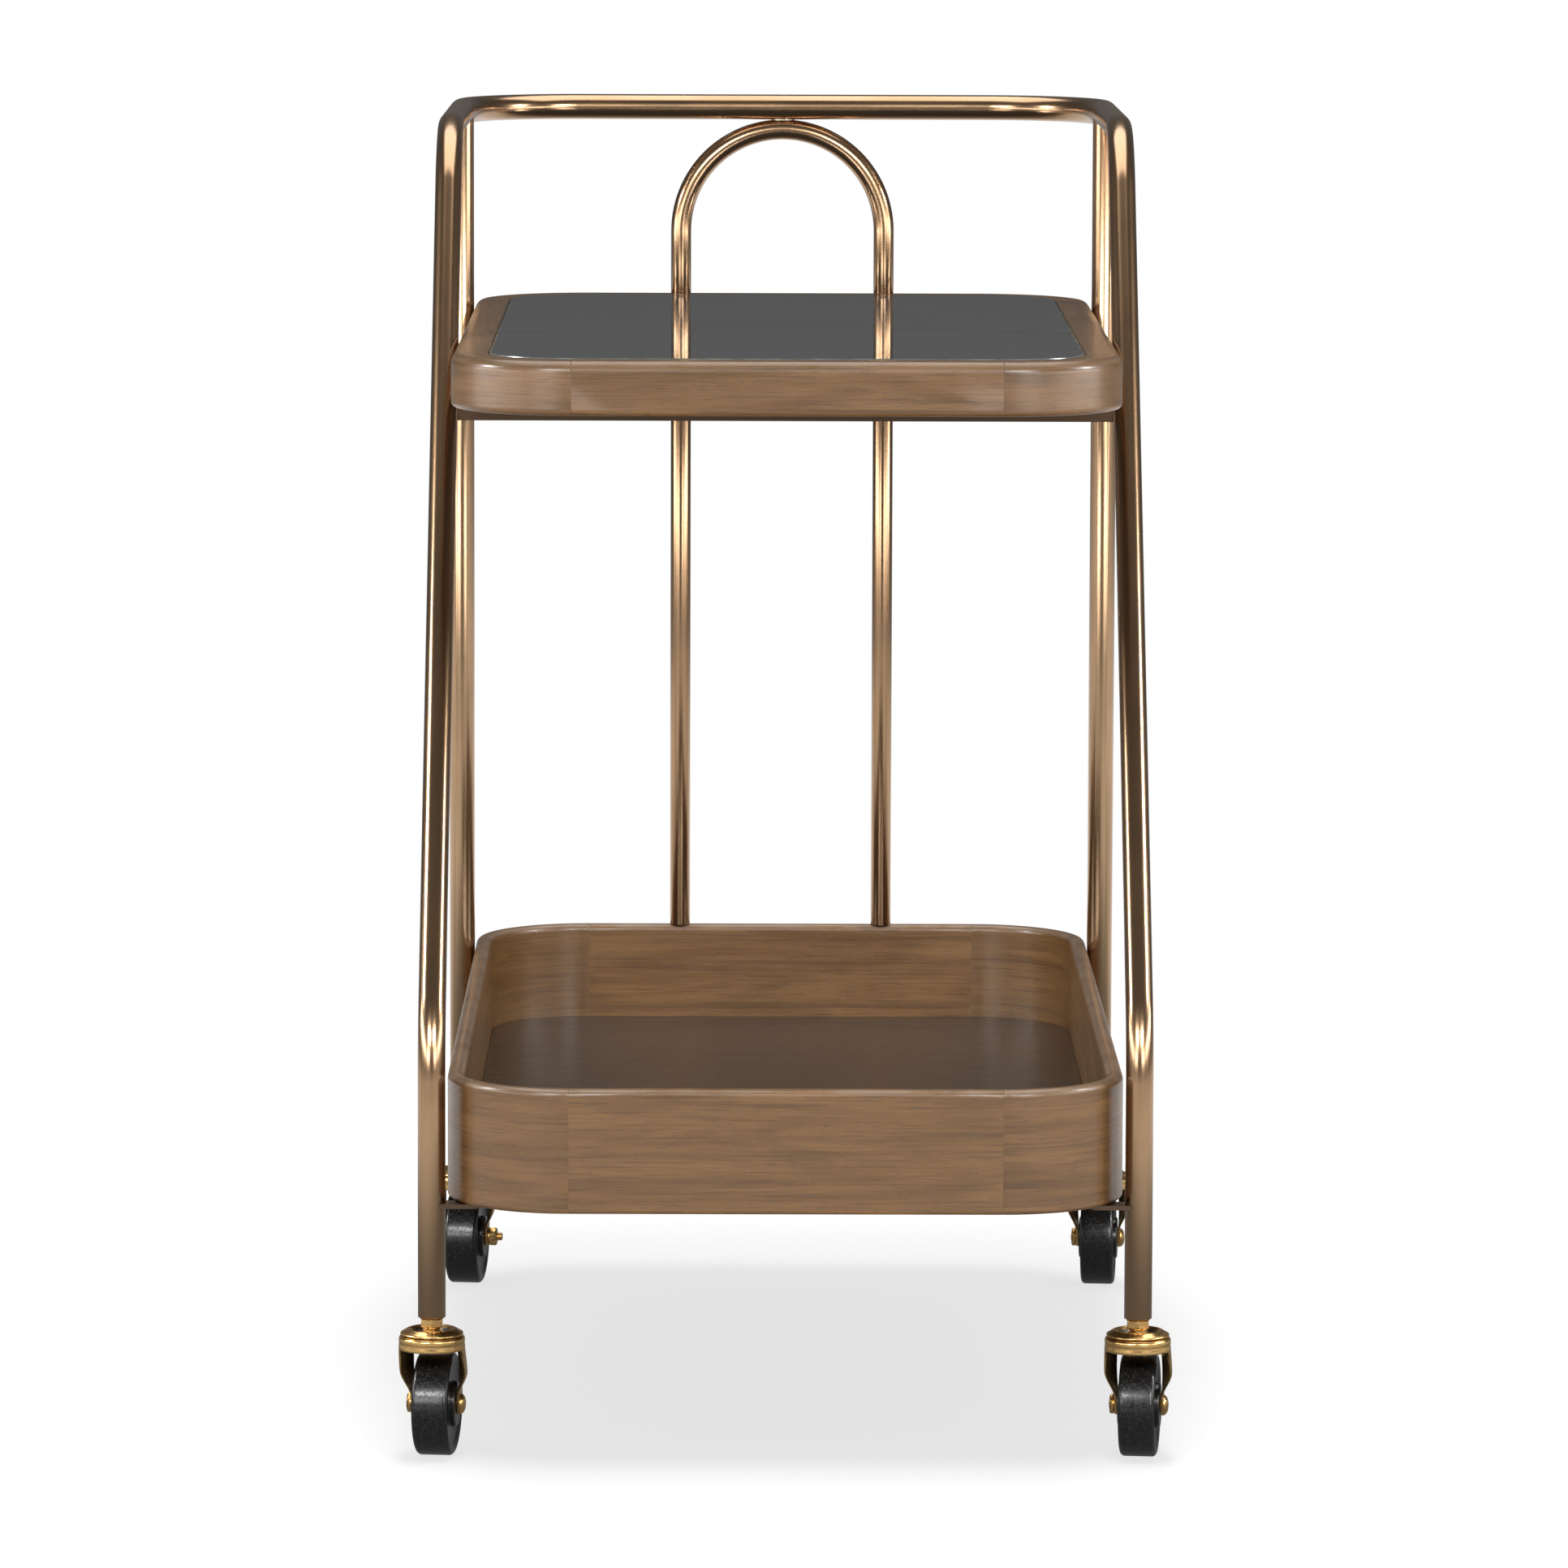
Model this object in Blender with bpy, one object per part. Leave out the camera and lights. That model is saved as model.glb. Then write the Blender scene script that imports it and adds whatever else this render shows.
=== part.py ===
"""Two-tier bar cart on four swivel casters.

Metres, +Z up. The origin is on the floor under the middle of the cart. X runs across the cart,
Y along it: -Y is the low front end and +Y the back end, where the push handle and the hoop are.
"""

import math

import bmesh
import bpy
from mathutils import Matrix, Vector

# Driving dimensions.
GAP = 0.0003                       # clearance that touching pieces keep

CART_LENGTH = 0.785
LEG_X = 0.2290                     # leg axis, either side of the middle
FRONT_LEG_Y = -0.3475
BACK_LEG_Y = 0.2825
LEG_BOTTOM = 0.0943

TUBE_RADIUS = 0.009
TUBE_WALL = 0.0015
TUBE_SIDES = 12

LOWER_BEND_Z = 0.276               # where the front leg starts to lean back
LOWER_BEND_RADIUS = 0.090
UPPER_BEND_Y = 0.0345              # where it turns level
UPPER_BEND_RADIUS = 0.085
HANDLE_Z = 0.8466
HANDLE_Y = CART_LENGTH / 2 - TUBE_RADIUS
HANDLE_CORNER_RADIUS = 0.085

HOOP_TUBE_RADIUS = 0.00725
HOOP_TUBE_WALL = 0.0012
HOOP_RADIUS = 0.0733
HOOP_Y = 0.385
WELD_HALF_LENGTH = 0.012
WELD_RADIUS = 0.0011
WELD_OFFSET = 0.0052               # of a bead from the hoop's plane, where the two tubes part

TRAY_HALF_WIDTH = LEG_X - TUBE_RADIUS - GAP
TRAY_BACK = CART_LENGTH / 2
TRAY_CORNER_RADIUS = 0.080
CORNER_STEPS = 6

UPPER_FRONT = -0.3065
UPPER_BOTTOM = 0.6765
UPPER_TOP = 0.712
UPPER_RAIL_WIDTH = 0.0245
UPPER_ROUND_OUTER_TOP = 0.007
UPPER_ROUND_INNER_TOP = 0.002
UPPER_ROUND_BOTTOM = 0.004
DECK_TOP = 0.7055
DECK_THICKNESS = 0.015
CROSSBAR_HEIGHT = 0.020
CROSSBAR_THICKNESS = 0.006
CROSSBAR_ROUND = 0.0012

GLASS_TOP = 0.7123
GLASS_THICKNESS = 0.005
GLASS_ARRIS = 0.0008
BUMPER_RADIUS = 0.005
BUMPER_EDGE_DISTANCE = 0.035

LOWER_FRONT = -CART_LENGTH / 2
LOWER_BOTTOM = 0.1695
LOWER_TOP = 0.2505
LOWER_WALL = 0.011
LOWER_ROUND_TOP = 0.0045
LOWER_ROUND_BOTTOM = 0.002
FLOOR_TOP = 0.183
FLOOR_THICKNESS = 0.0095

TAB_LENGTH = 0.024
TAB_HALF_WIDTH = 0.008
TAB_THICKNESS = 0.003

WHEEL_RADIUS = 0.0337
WHEEL_HALF_TREAD = 0.01185
WHEEL_HALF_HUB = 0.0137
HUB_RADIUS = 0.0148
AXLE_BORE = 0.0033
AXLE_RADIUS = 0.003
CASTER_TRAIL = 0.0195

RACE_TOP = 0.0842
RACE_BOTTOM = 0.083
RACE_RADIUS = 0.0205
RING_TOP = 0.0826
RING_BOTTOM = 0.0736
RING_RADIUS = 0.0216
KINGPIN_RADIUS = 0.004
FORK_THICKNESS = 0.0016
FORK_HALF_WIDTH = 0.0158           # outer face of a blade at the axle
FORK_END_RADIUS = 0.0068
DRILL_OVERSHOOT = 0.01
BLADE_TURNS_IN = 0.4               # share of the way down where a blade starts to close in
BLADE_FLAT_FROM = 0.84             # and where it is flat for the bolt
BLADE_BULGE = 0.0008
BLADE_LEVELS = (0.22, 0.42, 0.56, 0.70, BLADE_FLAT_FROM, 1.0)
BLADE_FIRST = -1                   # first and last of the ring's columns that a blade hangs from
BLADE_LAST = 3
NUT_CORNER_RADIUS = 0.0079
BOLT_HEAD_RADIUS = 0.0068
AXLE_NUT_RADIUS = 0.0066
THIN_NUT = 0.0032
THICK_NUT = 0.0058                 # on the bolt whose thread stands out of its nut

RING_SEGMENTS = 24
BOLT_SEGMENTS = 12

# name, leg side, leg y, swivel at rest in degrees, side of the bolt's head, length of bare thread
CASTERS = (
    ("front_left", -1, FRONT_LEG_Y, -7.5, 1, 0.0005),
    ("front_right", 1, FRONT_LEG_Y, -7.0, 1, 0.0005),
    ("back_left", -1, BACK_LEG_Y, -7.0, -1, 0.004),
    ("back_right", 1, BACK_LEG_Y, -5.0, 1, 0.0005),
)


def clear_scene():
    for obj in list(bpy.data.objects):
        bpy.data.objects.remove(obj, do_unlink=True)


def make_material(name, color, roughness, metallic, alpha=1.0):
    material = bpy.data.materials.new(name)
    material.use_nodes = True
    shader = material.node_tree.nodes["Principled BSDF"]
    shader.inputs["Base Color"].default_value = (*color, 1.0)
    shader.inputs["Roughness"].default_value = roughness
    shader.inputs["Metallic"].default_value = metallic
    shader.inputs["Alpha"].default_value = alpha
    return material


def add_object(name, bm, material, parent=None, location=(0.0, 0.0, 0.0)):
    """Close the bmesh into an object with outward faces and smooth shading."""
    bmesh.ops.recalc_face_normals(bm, faces=bm.faces)
    mesh = bpy.data.meshes.new(name)
    bm.to_mesh(mesh)
    bm.free()
    mesh.shade_smooth()
    mesh.set_sharp_from_angle(angle=math.radians(35.0))
    mesh.materials.append(material)
    obj = bpy.data.objects.new(name, mesh)
    bpy.context.scene.collection.objects.link(obj)
    obj.parent = parent
    obj.location = location
    return obj


def bent_path(corners, radii, degrees_per_step=11.5):
    """Turn a polyline into a path whose inner corners are arcs of the given radii."""
    path = [Vector(corners[0])]
    for before, corner, after, radius in zip(corners, corners[1:], corners[2:], radii):
        corner = Vector(corner)
        arriving = (corner - Vector(before)).normalized()
        leaving = (Vector(after) - corner).normalized()
        turn = arriving.angle(leaving)
        reach = radius * math.tan(turn / 2)
        start = corner - arriving * reach
        across = (leaving - arriving * arriving.dot(leaving)).normalized()
        steps = max(2, round(math.degrees(turn) / degrees_per_step))
        for step in range(steps + 1):
            angle = turn * step / steps
            path.append(start + arriving * radius * math.sin(angle) + across * radius * (1 - math.cos(angle)))
    path.append(Vector(corners[-1]))
    return path


def tube_rings(bm, path, radius, first_normal):
    """Rings of vertices along the path, carried round its bends without twist."""
    rings = []
    normal = Vector(first_normal)
    for index, point in enumerate(path):
        before = path[max(index - 1, 0)]
        after = path[min(index + 1, len(path) - 1)]
        tangent = (after - before).normalized()
        normal = (normal - tangent * normal.dot(tangent)).normalized()
        side = tangent.cross(normal)
        stretch = 1.0
        if 0 < index < len(path) - 1:
            half_turn = (point - before).angle(after - point) / 2
            stretch = 1.0 / math.cos(half_turn)
        bend = (after - point).normalized() - (point - before).normalized() if stretch > 1.0 else Vector()
        bend = bend.normalized() if bend.length > 1e-6 else bend
        ring = []
        for number in range(TUBE_SIDES):
            angle = math.tau * number / TUBE_SIDES
            offset = (normal * math.cos(angle) + side * math.sin(angle)) * radius
            offset += bend * offset.dot(bend) * (stretch - 1.0)
            ring.append(bm.verts.new(point + offset))
        rings.append(ring)
    return rings


def bridge(bm, ring_a, ring_b):
    count = len(ring_a)
    for number in range(count):
        following = (number + 1) % count
        bm.faces.new((ring_a[number], ring_a[following], ring_b[following], ring_b[number]))


def make_tube(name, path, radius, wall, first_normal, material, top_cut=None):
    """A hollow tube with open ends. top_cut gives the height of the last ring's vertices."""
    bm = bmesh.new()
    outer = tube_rings(bm, path, radius, first_normal)
    inner = tube_rings(bm, path, radius - wall, first_normal)
    if top_cut:
        for vertex in outer[-1] + inner[-1]:
            vertex.co.z = top_cut(vertex.co)
    for rings in (outer, inner):
        for ring_a, ring_b in zip(rings, rings[1:]):
            bridge(bm, ring_a, ring_b)
    bridge(bm, outer[0], inner[0])
    bridge(bm, outer[-1], inner[-1])
    return add_object(name, bm, material)


def turned(bm, profile, segments, closed=False):
    """Spin a profile of (radius, height, is_hexagon) about Z. Radius 0 makes a pole."""
    rings = []
    for radius, height, is_hexagon in profile:
        if radius == 0.0:
            rings.append([bm.verts.new((0.0, 0.0, height))])
            continue
        ring = []
        for number in range(segments):
            angle = math.tau * number / segments
            reach = radius
            if is_hexagon:
                from_flat = (angle + 1e-9) % (math.pi / 3) - math.pi / 6
                reach = radius * math.cos(math.pi / 6) / math.cos(from_flat)
            ring.append(bm.verts.new((reach * math.cos(angle), reach * math.sin(angle), height)))
        rings.append(ring)
    pairs = list(zip(rings, rings[1:]))
    if closed:
        pairs.append((rings[-1], rings[0]))
    for ring_a, ring_b in pairs:
        if len(ring_a) == 1 or len(ring_b) == 1:
            pole, ring = (ring_a[0], ring_b) if len(ring_a) == 1 else (ring_b[0], ring_a)
            for number in range(segments):
                bm.faces.new((pole, ring[number], ring[(number + 1) % segments]))
        else:
            bridge(bm, ring_a, ring_b)


def round_profile(profile):
    return [(radius, height, False) for radius, height in profile]


def rounded_section(width, bottom, top, roundings, steps=3):
    """Closed outline of a wall section as (distance in from the outer face, height).

    roundings are the radii of the outer bottom, inner bottom, inner top and outer top edges.
    """
    corners = ((0.0, bottom, 180), (width, bottom, 270), (width, top, 0), (0.0, top, 90))
    outline = []
    for (inward, height, first_angle), radius in zip(corners, roundings):
        centre_in = radius if inward == 0.0 else width - radius
        centre_up = bottom + radius if height == bottom else top - radius
        for step in range(steps + 1):
            angle = math.radians(first_angle + 90 * step / steps)
            outline.append((centre_in + radius * math.cos(angle), centre_up + radius * math.sin(angle)))
    return outline


def loft(bm, rings):
    """Skin equal rings and cap both ends."""
    for ring_a, ring_b in zip(rings, rings[1:]):
        bridge(bm, ring_a, ring_b)
    bm.faces.new(rings[0])
    bm.faces.new(list(reversed(rings[-1])))


def make_tray_walls(prefix, piece, half_width, front, back, section, material):
    """Four straight boards and the four curved corner blocks between them."""
    radius = TRAY_CORNER_RADIUS
    straight_x = half_width - radius - GAP
    boards = (
        ("left", (-half_width, front + radius + GAP), (-half_width, back - radius - GAP), (1, 0)),
        ("right", (half_width, front + radius + GAP), (half_width, back - radius - GAP), (-1, 0)),
        ("front", (-straight_x, front), (straight_x, front), (0, 1)),
        ("back", (-straight_x, back), (straight_x, back), (0, -1)),
    )
    for side, start, end, inward in boards:
        bm = bmesh.new()
        rings = []
        for x, y in (start, end):
            rings.append([bm.verts.new((x + inward[0] * u, y + inward[1] * u, z)) for u, z in section])
        loft(bm, rings)
        add_object(f"{prefix}_{piece}_{side}", bm, material)
    for side_y, y, turn_y in (("front", front + radius, -1), ("back", back - radius, 1)):
        for side_x, turn_x in (("left", -1), ("right", 1)):
            x = turn_x * (half_width - radius)
            bm = bmesh.new()
            rings = []
            for step in range(CORNER_STEPS + 1):
                angle = math.pi / 2 * step / CORNER_STEPS
                toward_x = turn_x * math.cos(angle)
                toward_y = turn_y * math.sin(angle)
                ring = [bm.verts.new((x + toward_x * (radius - u), y + toward_y * (radius - u), z))
                        for u, z in section]
                rings.append(ring)
            loft(bm, rings)
            add_object(f"{prefix}_corner_{side_y}_{side_x}", bm, material)


def make_panel(name, half_width, front, back, bottom, top, radius, material, arris=0.0):
    """A flat panel with round corners, its two long edges broken by arris."""
    outline = []
    for turn_x, turn_y, first in ((1, 1, 0), (-1, 1, 90), (-1, -1, 180), (1, -1, 270)):
        x = turn_x * (half_width - radius)
        y = (back - radius) if turn_y > 0 else (front + radius)
        for step in range(CORNER_STEPS + 1):
            angle = math.radians(first + 90 * step / CORNER_STEPS)
            outline.append((x, y, math.cos(angle), math.sin(angle)))
    levels = [(bottom, radius), (top, radius)]
    if arris:
        levels = [(bottom, radius - arris), (bottom + arris, radius),
                  (top - arris, radius), (top, radius - arris)]
    bm = bmesh.new()
    rings = []
    for height, reach in levels:
        rings.append([bm.verts.new((x + dx * reach, y + dy * reach, height)) for x, y, dx, dy in outline])
    loft(bm, rings)
    return add_object(name, bm, material)


def make_disc(name, radius, bottom, top, location, material):
    bm = bmesh.new()
    profile = round_profile([(0.0, top), (radius, top), (radius, bottom), (0.0, bottom)])
    turned(bm, profile, BOLT_SEGMENTS)
    return add_object(name, bm, material, location=location)


def front_leg_y(height):
    """Where the leaning part of the front leg is at a height."""
    lean = (UPPER_BEND_Y - FRONT_LEG_Y) / (HANDLE_Z - LOWER_BEND_Z)
    return FRONT_LEG_Y + (height - LOWER_BEND_Z) * lean


def make_frame(brass):
    corners = [
        (-LEG_X, FRONT_LEG_Y, LEG_BOTTOM),
        (-LEG_X, FRONT_LEG_Y, LOWER_BEND_Z),
        (-LEG_X, UPPER_BEND_Y, HANDLE_Z),
        (-LEG_X, HANDLE_Y, HANDLE_Z),
    ]
    corners += [(-x, y, z) for x, y, z in reversed(corners)]
    radii = [LOWER_BEND_RADIUS, UPPER_BEND_RADIUS, HANDLE_CORNER_RADIUS]
    radii += list(reversed(radii))
    path = bent_path(corners, radii)
    make_tube("handle_frame", path, TUBE_RADIUS, TUBE_WALL, (1, 0, 0), brass)

    for side, sign in (("left", -1), ("right", 1)):
        axis_x = sign * LEG_X
        saddle = TUBE_RADIUS + 2 * GAP

        def under_handle(point, axis_x=axis_x):
            return HANDLE_Z - math.sqrt(saddle ** 2 - min((point.x - axis_x) ** 2, saddle ** 2))

        path = [Vector((axis_x, BACK_LEG_Y, LEG_BOTTOM)), Vector((axis_x, BACK_LEG_Y, HANDLE_Z - saddle))]
        make_tube(f"back_leg_{side}", path, TUBE_RADIUS, TUBE_WALL, (1, 0, 0), brass, under_handle)


def make_weld(name, y, z, material):
    """A weld bead: a thin spindle along X in the groove between hoop and handle."""
    bm = bmesh.new()
    profile = [(0.0, WELD_HALF_LENGTH)]
    for step in range(1, 6):
        angle = math.pi * step / 6
        profile.append((WELD_RADIUS * math.sin(angle), WELD_HALF_LENGTH * math.cos(angle)))
    profile.append((0.0, -WELD_HALF_LENGTH))
    turned(bm, round_profile(profile), 8)
    bmesh.ops.rotate(bm, verts=bm.verts, matrix=Matrix.Rotation(math.pi / 2, 3, "Y"))
    return add_object(name, bm, material, location=(0.0, y, z))


def make_hoop(brass):
    handle_bottom = HANDLE_Z - TUBE_RADIUS
    hoop_top = handle_bottom - GAP
    crown = hoop_top - HOOP_TUBE_RADIUS
    corners = [(-HOOP_RADIUS, HOOP_Y, UPPER_TOP + GAP), (-HOOP_RADIUS, HOOP_Y, crown),
               (HOOP_RADIUS, HOOP_Y, crown), (HOOP_RADIUS, HOOP_Y, UPPER_TOP + GAP)]
    path = bent_path(corners, [HOOP_RADIUS, HOOP_RADIUS])
    # The two quarter arcs meet at the crown, where one of the two equal points goes.
    middle = len(path) // 2
    del path[middle]
    make_tube("hoop", path, HOOP_TUBE_RADIUS, HOOP_TUBE_WALL, (0, 1, 0), brass)
    for face, sign in (("front", -1), ("back", 1)):
        make_weld(f"hoop_weld_{face}", (HOOP_Y + HANDLE_Y) / 2 + sign * WELD_OFFSET, hoop_top, brass)
    for side, sign in (("left", -1), ("right", 1)):
        foot = Vector((sign * HOOP_RADIUS, HOOP_Y, LOWER_TOP + GAP))
        head = Vector((sign * HOOP_RADIUS, HOOP_Y, UPPER_BOTTOM - GAP))
        make_tube(f"hoop_post_{side}", [foot, head], HOOP_TUBE_RADIUS, HOOP_TUBE_WALL, (0, 1, 0), brass)


def make_upper_tray(wood, board, glass, rubber):
    section = rounded_section(
        UPPER_RAIL_WIDTH, UPPER_BOTTOM, UPPER_TOP,
        (UPPER_ROUND_BOTTOM, UPPER_ROUND_INNER_TOP, UPPER_ROUND_INNER_TOP, UPPER_ROUND_OUTER_TOP))
    make_tray_walls("upper", "rail", TRAY_HALF_WIDTH, UPPER_FRONT, TRAY_BACK, section, wood)

    inset = UPPER_RAIL_WIDTH + GAP
    make_panel("upper_deck_panel", TRAY_HALF_WIDTH - inset, UPPER_FRONT + inset, TRAY_BACK - inset,
               DECK_TOP - DECK_THICKNESS, DECK_TOP, TRAY_CORNER_RADIUS - inset, board)
    inset = UPPER_RAIL_WIDTH + 2 * GAP
    make_panel("glass_panel", TRAY_HALF_WIDTH - inset, UPPER_FRONT + inset, TRAY_BACK - inset,
               GLASS_TOP - GLASS_THICKNESS, GLASS_TOP, TRAY_CORNER_RADIUS - inset, glass, GLASS_ARRIS)
    reach_x = TRAY_HALF_WIDTH - inset - BUMPER_EDGE_DISTANCE
    rows = (("front", UPPER_FRONT + inset + BUMPER_EDGE_DISTANCE),
            ("back", TRAY_BACK - inset - BUMPER_EDGE_DISTANCE))
    for row, y in rows:
        for side, sign in (("left", -1), ("right", 1)):
            make_disc(f"glass_bumper_{row}_{side}", BUMPER_RADIUS, DECK_TOP + GAP,
                      GLASS_TOP - GLASS_THICKNESS - GAP, (sign * reach_x, y, 0.0), rubber)


def make_lower_tray(wood, board):
    section = rounded_section(
        LOWER_WALL, LOWER_BOTTOM, LOWER_TOP,
        (LOWER_ROUND_BOTTOM, LOWER_ROUND_BOTTOM, LOWER_ROUND_TOP, LOWER_ROUND_TOP))
    make_tray_walls("lower", "board", TRAY_HALF_WIDTH, LOWER_FRONT, TRAY_BACK, section, wood)
    inset = LOWER_WALL + GAP
    make_panel("lower_floor_panel", TRAY_HALF_WIDTH - inset, LOWER_FRONT + inset, TRAY_BACK - inset,
               FLOOR_TOP - FLOOR_THICKNESS, FLOOR_TOP, TRAY_CORNER_RADIUS - inset, board)


def make_tab(name, sign, leg_y, top, material):
    """A support tab welded to a leg's inner side, its end shaped round the leg."""
    saddle = TUBE_RADIUS + GAP
    inner_end = LEG_X - TUBE_RADIUS - TAB_LENGTH
    outline = []
    steps = 6
    for step in range(steps + 1):
        y = TAB_HALF_WIDTH * (2 * step / steps - 1)
        outline.append((LEG_X - math.sqrt(saddle ** 2 - y ** 2), y))
    for step in range(steps + 1):
        angle = math.radians(90 + 180 * step / steps)
        outline.append((inner_end + TAB_HALF_WIDTH * (1 + math.cos(angle)), TAB_HALF_WIDTH * math.sin(angle)))
    bm = bmesh.new()
    rings = []
    for height in (top - TAB_THICKNESS, top):
        rings.append([bm.verts.new((sign * x, leg_y + y, height)) for x, y in outline])
    loft(bm, rings)
    return add_object(name, bm, material)


def make_supports(brass):
    """Flat bars across the legs under the upper tray, and four tabs under the lower one."""
    bar_top = UPPER_BOTTOM - GAP
    section = rounded_section(CROSSBAR_THICKNESS, bar_top - CROSSBAR_HEIGHT, bar_top, [CROSSBAR_ROUND] * 4, 1)
    reach = LEG_X - TUBE_RADIUS - GAP
    for side, y in (("front", front_leg_y(bar_top - CROSSBAR_HEIGHT / 2)), ("back", BACK_LEG_Y)):
        bm = bmesh.new()
        rings = []
        for x in (-reach, reach):
            rings.append([bm.verts.new((x, y + u - CROSSBAR_THICKNESS / 2, z)) for u, z in section])
        loft(bm, rings)
        add_object(f"upper_crossbar_{side}", bm, brass)
    for side, y in (("front", FRONT_LEG_Y), ("back", BACK_LEG_Y)):
        for hand, sign in (("left", -1), ("right", 1)):
            make_tab(f"lower_tab_{side}_{hand}", sign, y, LOWER_BOTTOM - GAP, brass)


def make_stem(name, location, brass):
    """Plug in the tube, lock nut, collar, and the kingpin that carries the swivel."""
    nut_top = LEG_BOTTOM - GAP
    nut_bottom = RACE_TOP + 0.0034
    plug_radius = TUBE_RADIUS - TUBE_WALL - GAP
    plug_top = nut_top + 0.025
    chamfer = 0.0008
    pin_end = RING_TOP - FORK_THICKNESS - GAP
    profile = [
        (0.0, plug_top, False),
        (plug_radius - chamfer, plug_top, False),
        (plug_radius, plug_top - chamfer, False),
        (plug_radius, nut_top, False),
        (NUT_CORNER_RADIUS - chamfer, nut_top - 1e-5, False),
        (NUT_CORNER_RADIUS, nut_top - chamfer, True),
        (NUT_CORNER_RADIUS, nut_bottom + chamfer, True),
        (NUT_CORNER_RADIUS - chamfer, nut_bottom, False),
        (0.0060, nut_bottom - 0.0004, False),
        (0.0063, RACE_TOP, False),
        (KINGPIN_RADIUS, RACE_TOP - 1e-5, False),
        (KINGPIN_RADIUS, pin_end, False),
        (0.007, pin_end - 1e-5, False),
        (0.0062, pin_end - 0.0014, False),
        (0.0, pin_end - 0.0018, False),
    ]
    bm = bmesh.new()
    turned(bm, profile, BOLT_SEGMENTS)
    return add_object(name, bm, brass, location=location)


def make_race(name, location, brass):
    """Dished cap of the swivel bearing."""
    hole = KINGPIN_RADIUS + GAP
    bowl = RACE_TOP - GAP
    profile = round_profile([
        (hole, RACE_BOTTOM),
        (hole, bowl),
        (0.0125, bowl),
        (0.0142, bowl + 0.0028),
        (0.0158, bowl + 0.0030),
        (0.0198, bowl + 0.0010),
        (RACE_RADIUS, bowl + 0.0002),
        (RACE_RADIUS, RACE_BOTTOM + 0.0004),
        (0.0198, RACE_BOTTOM),
    ])
    bm = bmesh.new()
    turned(bm, profile, RING_SEGMENTS, closed=True)
    return add_object(name, bm, brass, location=location)


def blade_share(column):
    """Where a column lies across a blade: -1 at its front edge, 1 at its back edge."""
    return 2 * (column - BLADE_FIRST) / (BLADE_LAST - BLADE_FIRST) - 1


def blade_row(down):
    """One row of a fork blade, front edge to back edge, at 0 (the ring) to 1 (the axle)."""
    inward = (down - BLADE_TURNS_IN) / (BLADE_FLAT_FROM - BLADE_TURNS_IN)
    inward = min(max(inward, 0.0), 1.0)
    ease = inward * inward * (3 - 2 * inward)
    bulge = BLADE_BULGE * math.sin(math.pi * min(down / BLADE_FLAT_FROM, 1.0))
    height = RING_BOTTOM + (WHEEL_RADIUS - RING_BOTTOM) * down
    row = []
    for column in range(BLADE_FIRST, BLADE_LAST + 1):
        angle = math.tau * column / RING_SEGMENTS
        x_ring = RING_RADIUS * math.cos(angle)
        y_ring = RING_RADIUS * math.sin(angle)
        y_axle = CASTER_TRAIL + FORK_END_RADIUS * blade_share(column)
        x = x_ring + (FORK_HALF_WIDTH - x_ring) * ease + bulge
        row.append((x, y_ring + (y_axle - y_ring) * down, height))
    return row


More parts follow.
